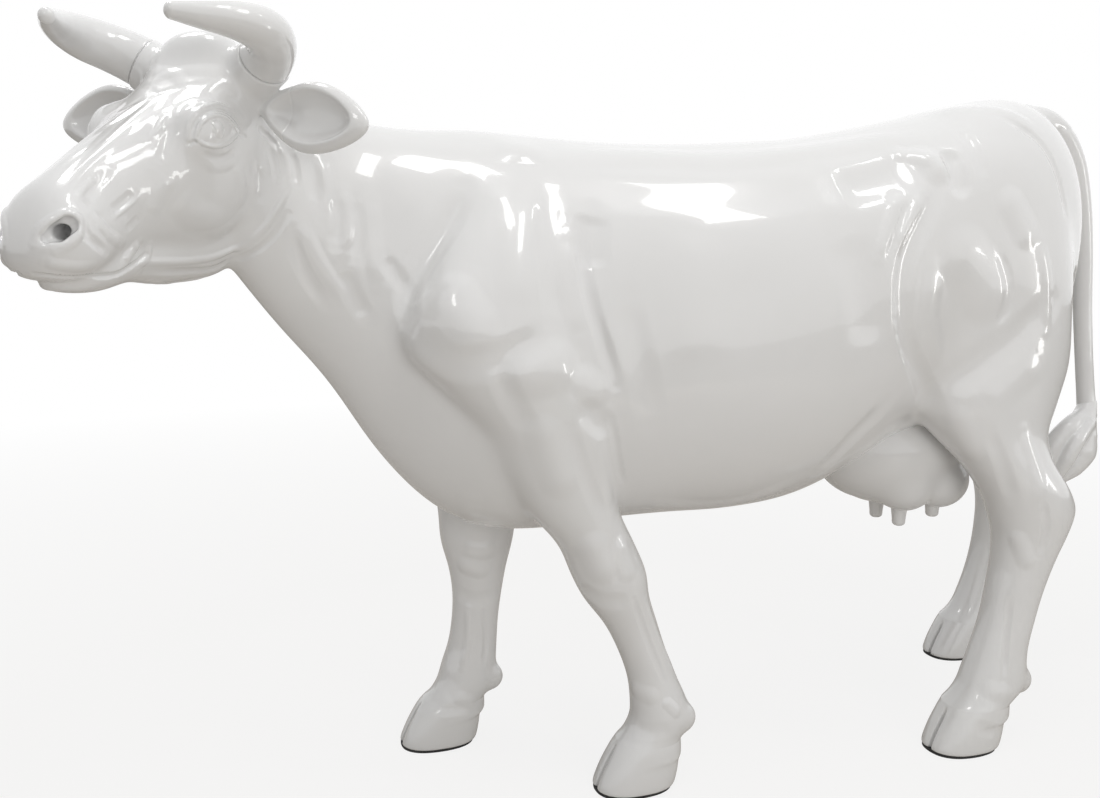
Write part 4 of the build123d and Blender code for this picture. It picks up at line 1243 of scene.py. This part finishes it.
def finish(name, settings):
    # One finish: two tones mixed by haze, roughness that varies with it, and a rippled or grained surface
    material = bpy.data.materials.new(name)
    material.use_nodes = True
    tree = material.node_tree
    place = added(tree, "ShaderNodeTexCoord").outputs["Object"]
    stretch = added(tree, "ShaderNodeMapping", {"Vector": place, "Scale": settings.get("stretch", (1, 1, 1))})
    spread = stretch.outputs[0]
    mask, tone, ripple = (tree.nodes.new(kind) for kind in ("ShaderNodeGroup", "ShaderNodeMix", "ShaderNodeGroup"))
    mask.node_tree, tone.data_type, ripple.node_tree = haze, "RGBA", coatRipple
    share = fed(tree, mask, {"Vector": spread, "Scale": settings["hazeScale"]}).outputs["Mask"]
    fed(tree, tone, {"Factor": share, "A": (*settings["colour"], 1), "B": (*settings["second"], 1)})
    low, high = settings["rough"]
    rough = added(tree, "ShaderNodeMapRange", {"Value": share, "To Min": low, "To Max": high})
    fed(tree, ripple, {"Vector": spread, "Scale": settings["grain"], "Wave": settings["wave"]})
    bump = added(tree, "ShaderNodeBump", {"Strength": settings["bump"], "Distance": settings["depth"],
                                          "Height": ripple.outputs["Height"]})
    fed(tree, tree.nodes["Principled BSDF"], {
        "Base Color": tone.outputs["Result"], "Roughness": rough.outputs["Result"],
        "Normal": bump.outputs["Normal"], **settings.get("shader", {}),
    })
    return material


glossWhite = finish("gloss white lacquer", {
    "colour": (0.80, 0.80, 0.80), "second": (0.765, 0.765, 0.76), "hazeScale": 2.2, "rough": (0.20, 0.26),
    "grain": 260.0, "wave": 9.0, "bump": 0.25, "depth": 0.0010,
    "shader": {"Coat Weight": 1.0, "Coat Roughness": 0.035, "IOR": 1.48},
})
rubber = finish("black pad rubber", {
    "colour": (0.020, 0.020, 0.021), "second": (0.05, 0.048, 0.045), "hazeScale": 22.0, "rough": (0.62, 0.82),
    "grain": 900.0, "wave": 120.0, "bump": 0.5, "depth": 0.0004,
})
brightSteel = finish("bright plated steel", {
    "colour": (0.60, 0.61, 0.62), "second": (0.45, 0.45, 0.44), "hazeScale": 30.0, "rough": (0.22, 0.40),
    "grain": 1400.0, "wave": 200.0, "bump": 0.3, "depth": 0.0002, "stretch": (1, 1, 0.15), "shader": {"Metallic": 1.0},
})
frameSteel = finish("primed frame steel", {
    "colour": (0.16, 0.17, 0.18), "second": (0.24, 0.22, 0.20), "hazeScale": 9.0, "rough": (0.42, 0.62),
    "grain": 500.0, "wave": 40.0, "bump": 0.5, "depth": 0.0006,
})
birchBoard = finish("birch board", {
    "colour": (0.60, 0.44, 0.27), "second": (0.44, 0.29, 0.16), "hazeScale": 6.0, "rough": (0.50, 0.68),
    "grain": 90.0, "wave": 18.0, "bump": 0.5, "depth": 0.0005, "stretch": (1, 0.2, 3),
})
makeTeats(glossWhite)


def paint(thing, material):
    thing.data.materials.clear()
    thing.data.materials.append(material)


# Every piece of the skin is lacquered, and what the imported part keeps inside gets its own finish
for thing in bpy.context.scene.objects:
    if thing.type == "MESH" and "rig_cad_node" not in thing:
        paint(thing, glossWhite)
for name, node in frame["nodes"].items():
    if name.endswith("_pad"):
        paint(node, rubber)
    elif name.endswith("_bush"):
        paint(node, brightSteel)
    elif name.endswith("_bulkhead"):
        paint(node, birchBoard)
    elif name.endswith(("_bar", "_tube", "_post", "_stay")) or name.startswith("horn_stud"):
        paint(node, frameSteel)
    else:
        paint(node, glossWhite)
print("finishes done")

# Studio: a pale floor, an even pale surround and large square lamps whose shapes show in the lacquer
floorMesh = bpy.data.meshes.new("studio_floor")
reach = 40.0
floorCorners = [(-reach, -reach, 0), (reach, -reach, 0), (reach, reach, 0), (-reach, reach, 0)]
floorMesh.from_pydata(floorCorners, [], [(0, 1, 2, 3)])
floor = linked("studio_floor", floorMesh)

floorLook = bpy.data.materials.new("pale floor")
floorLook.use_nodes = True
tree = floorLook.node_tree
floorShader = fed(tree, tree.nodes["Principled BSDF"], {"Base Color": (0.62, 0.585, 0.54, 1), "Roughness": 0.75})
glow = added(tree, "ShaderNodeEmission", {"Color": (1, 1, 1, 1), "Strength": 1.0})
rays = added(tree, "ShaderNodeLightPath").outputs
either = added(tree, "ShaderNodeMath", {0: rays["Is Camera Ray"], 1: rays["Is Transmission Ray"]}, "MAXIMUM")
# away from the animal the floor fades into the white surround, so that no line shows between them
spot = added(tree, "ShaderNodeTexCoord").outputs["Object"]
away = added(tree, "ShaderNodeVectorMath", {0: spot}, "LENGTH")
fade = added(tree, "ShaderNodeMapRange", {"Value": away.outputs["Value"], "From Min": 1.6, "From Max": 6.0,
                                          "To Min": 0.84, "To Max": 1.0})
share = added(tree, "ShaderNodeMath", {0: either.outputs[0], 1: fade.outputs["Result"]}, "MULTIPLY")
blendIn = added(tree, "ShaderNodeMixShader", {"Fac": share.outputs[0], 1: floorShader.outputs["BSDF"],
                                              2: glow.outputs[0]})
fed(tree, tree.nodes["Material Output"], {"Surface": blendIn.outputs[0]})
paint(floor, floorLook)

surround = bpy.data.worlds.new("studio")
bpy.context.scene.world = surround
surround.use_nodes = True
tree = surround.node_tree
tree.nodes.clear()
lit = added(tree, "ShaderNodeBackground", {"Color": (1.0, 0.998, 0.995, 1), "Strength": 0.40})
seen = added(tree, "ShaderNodeBackground", {"Color": (1, 1, 1, 1), "Strength": 1.0})
rays = added(tree, "ShaderNodeLightPath").outputs
first = added(tree, "ShaderNodeMath", {0: rays["Is Camera Ray"], 1: rays["Is Glossy Ray"]}, "MAXIMUM")
second = added(tree, "ShaderNodeMath", {0: first.outputs[0], 1: rays["Is Transmission Ray"]}, "MAXIMUM")
mixed = added(tree, "ShaderNodeMixShader", {"Fac": second.outputs[0], 1: lit.outputs[0], 2: seen.outputs[0]})
added(tree, "ShaderNodeOutputWorld", {"Surface": mixed.outputs[0]})

# Lamps: place and aim in the animal's own metres, size and power. Two large soft ones give the light and are kept
# out of the lacquer, the small ones are the square panes that show in the gloss
softLamps = {
    "roof": {"place": (0.5, -0.3, 4.4), "aim": (0.5, 0.0, 1.0), "size": (3.4, 2.6), "power": 29},
    "front": {"place": (0.9, -4.9, 1.5), "aim": (0.9, 0.0, 0.4), "size": (2.4, 1.6), "power": 50},
}
panes = {
    "neckPane": {"place": (0.20, -1.00, 3.4), "aim": (0.0, 0.0, 1.2), "size": (0.34, 0.60), "power": 4.6},
    "flankPane": {"place": (1.05, -1.50, 3.4), "aim": (0.6, 0.0, 1.2), "size": (0.46, 0.95), "power": 8.0},
    "hipPane": {"place": (2.05, -0.95, 3.4), "aim": (1.2, 0.0, 1.2), "size": (0.16, 0.30), "power": 1.1},
    "bladePane": {"place": (-0.80, 0.22, 3.4), "aim": (0.0, 0.0, 1.2), "size": (0.50, 0.40), "power": 4.6},
    "browPane": {"place": (-1.15, 1.20, 3.4), "aim": (-0.5, -0.1, 1.4), "size": (0.60, 0.40), "power": 5.0},
    "farPane": {"place": (-1.85, -2.70, 3.3), "aim": (0.0, 0.0, 1.1), "size": (0.50, 0.70), "power": 6.0},
    "sidePane": {"place": (3.7, -1.75, 1.25), "aim": (1.3, -0.2, 0.9), "size": (0.34, 0.90), "power": 5.0},
}
for name, settings in (softLamps | panes).items():
    lamp = bpy.data.lights.new(name, "AREA")
    lamp.shape = "RECTANGLE"
    lamp.size, lamp.size_y = settings["size"]
    lamp.energy = settings["power"]
    lamp.color = (1.0, 0.995, 0.985)
    thing = linked(name, lamp)
    thing.visible_glossy = name in panes
    thing.visible_camera = False
    place, aim = Vector(settings["place"]) + Vector(withers), Vector(settings["aim"]) + Vector(withers)
    thing.location = place
    thing.rotation_euler = (aim - place).to_track_quat("-Z", "Y").to_euler()

lens = bpy.data.cameras.new("view")
lens.sensor_width = 36.0
lens.lens = lens.sensor_width * cameraSettings["focal"] / cameraSettings["width"]
lens.clip_start, lens.clip_end = 0.05, 200
viewer = linked("view", lens)
viewer.location = Vector(cameraSettings["place"]) + Vector(withers)
viewer.rotation_euler = (math.radians(90 + cameraSettings["pitch"]), 0, math.radians(-cameraSettings["yaw"]))
bpy.context.scene.camera = viewer

bpy.context.scene.view_settings.view_transform = "Standard"
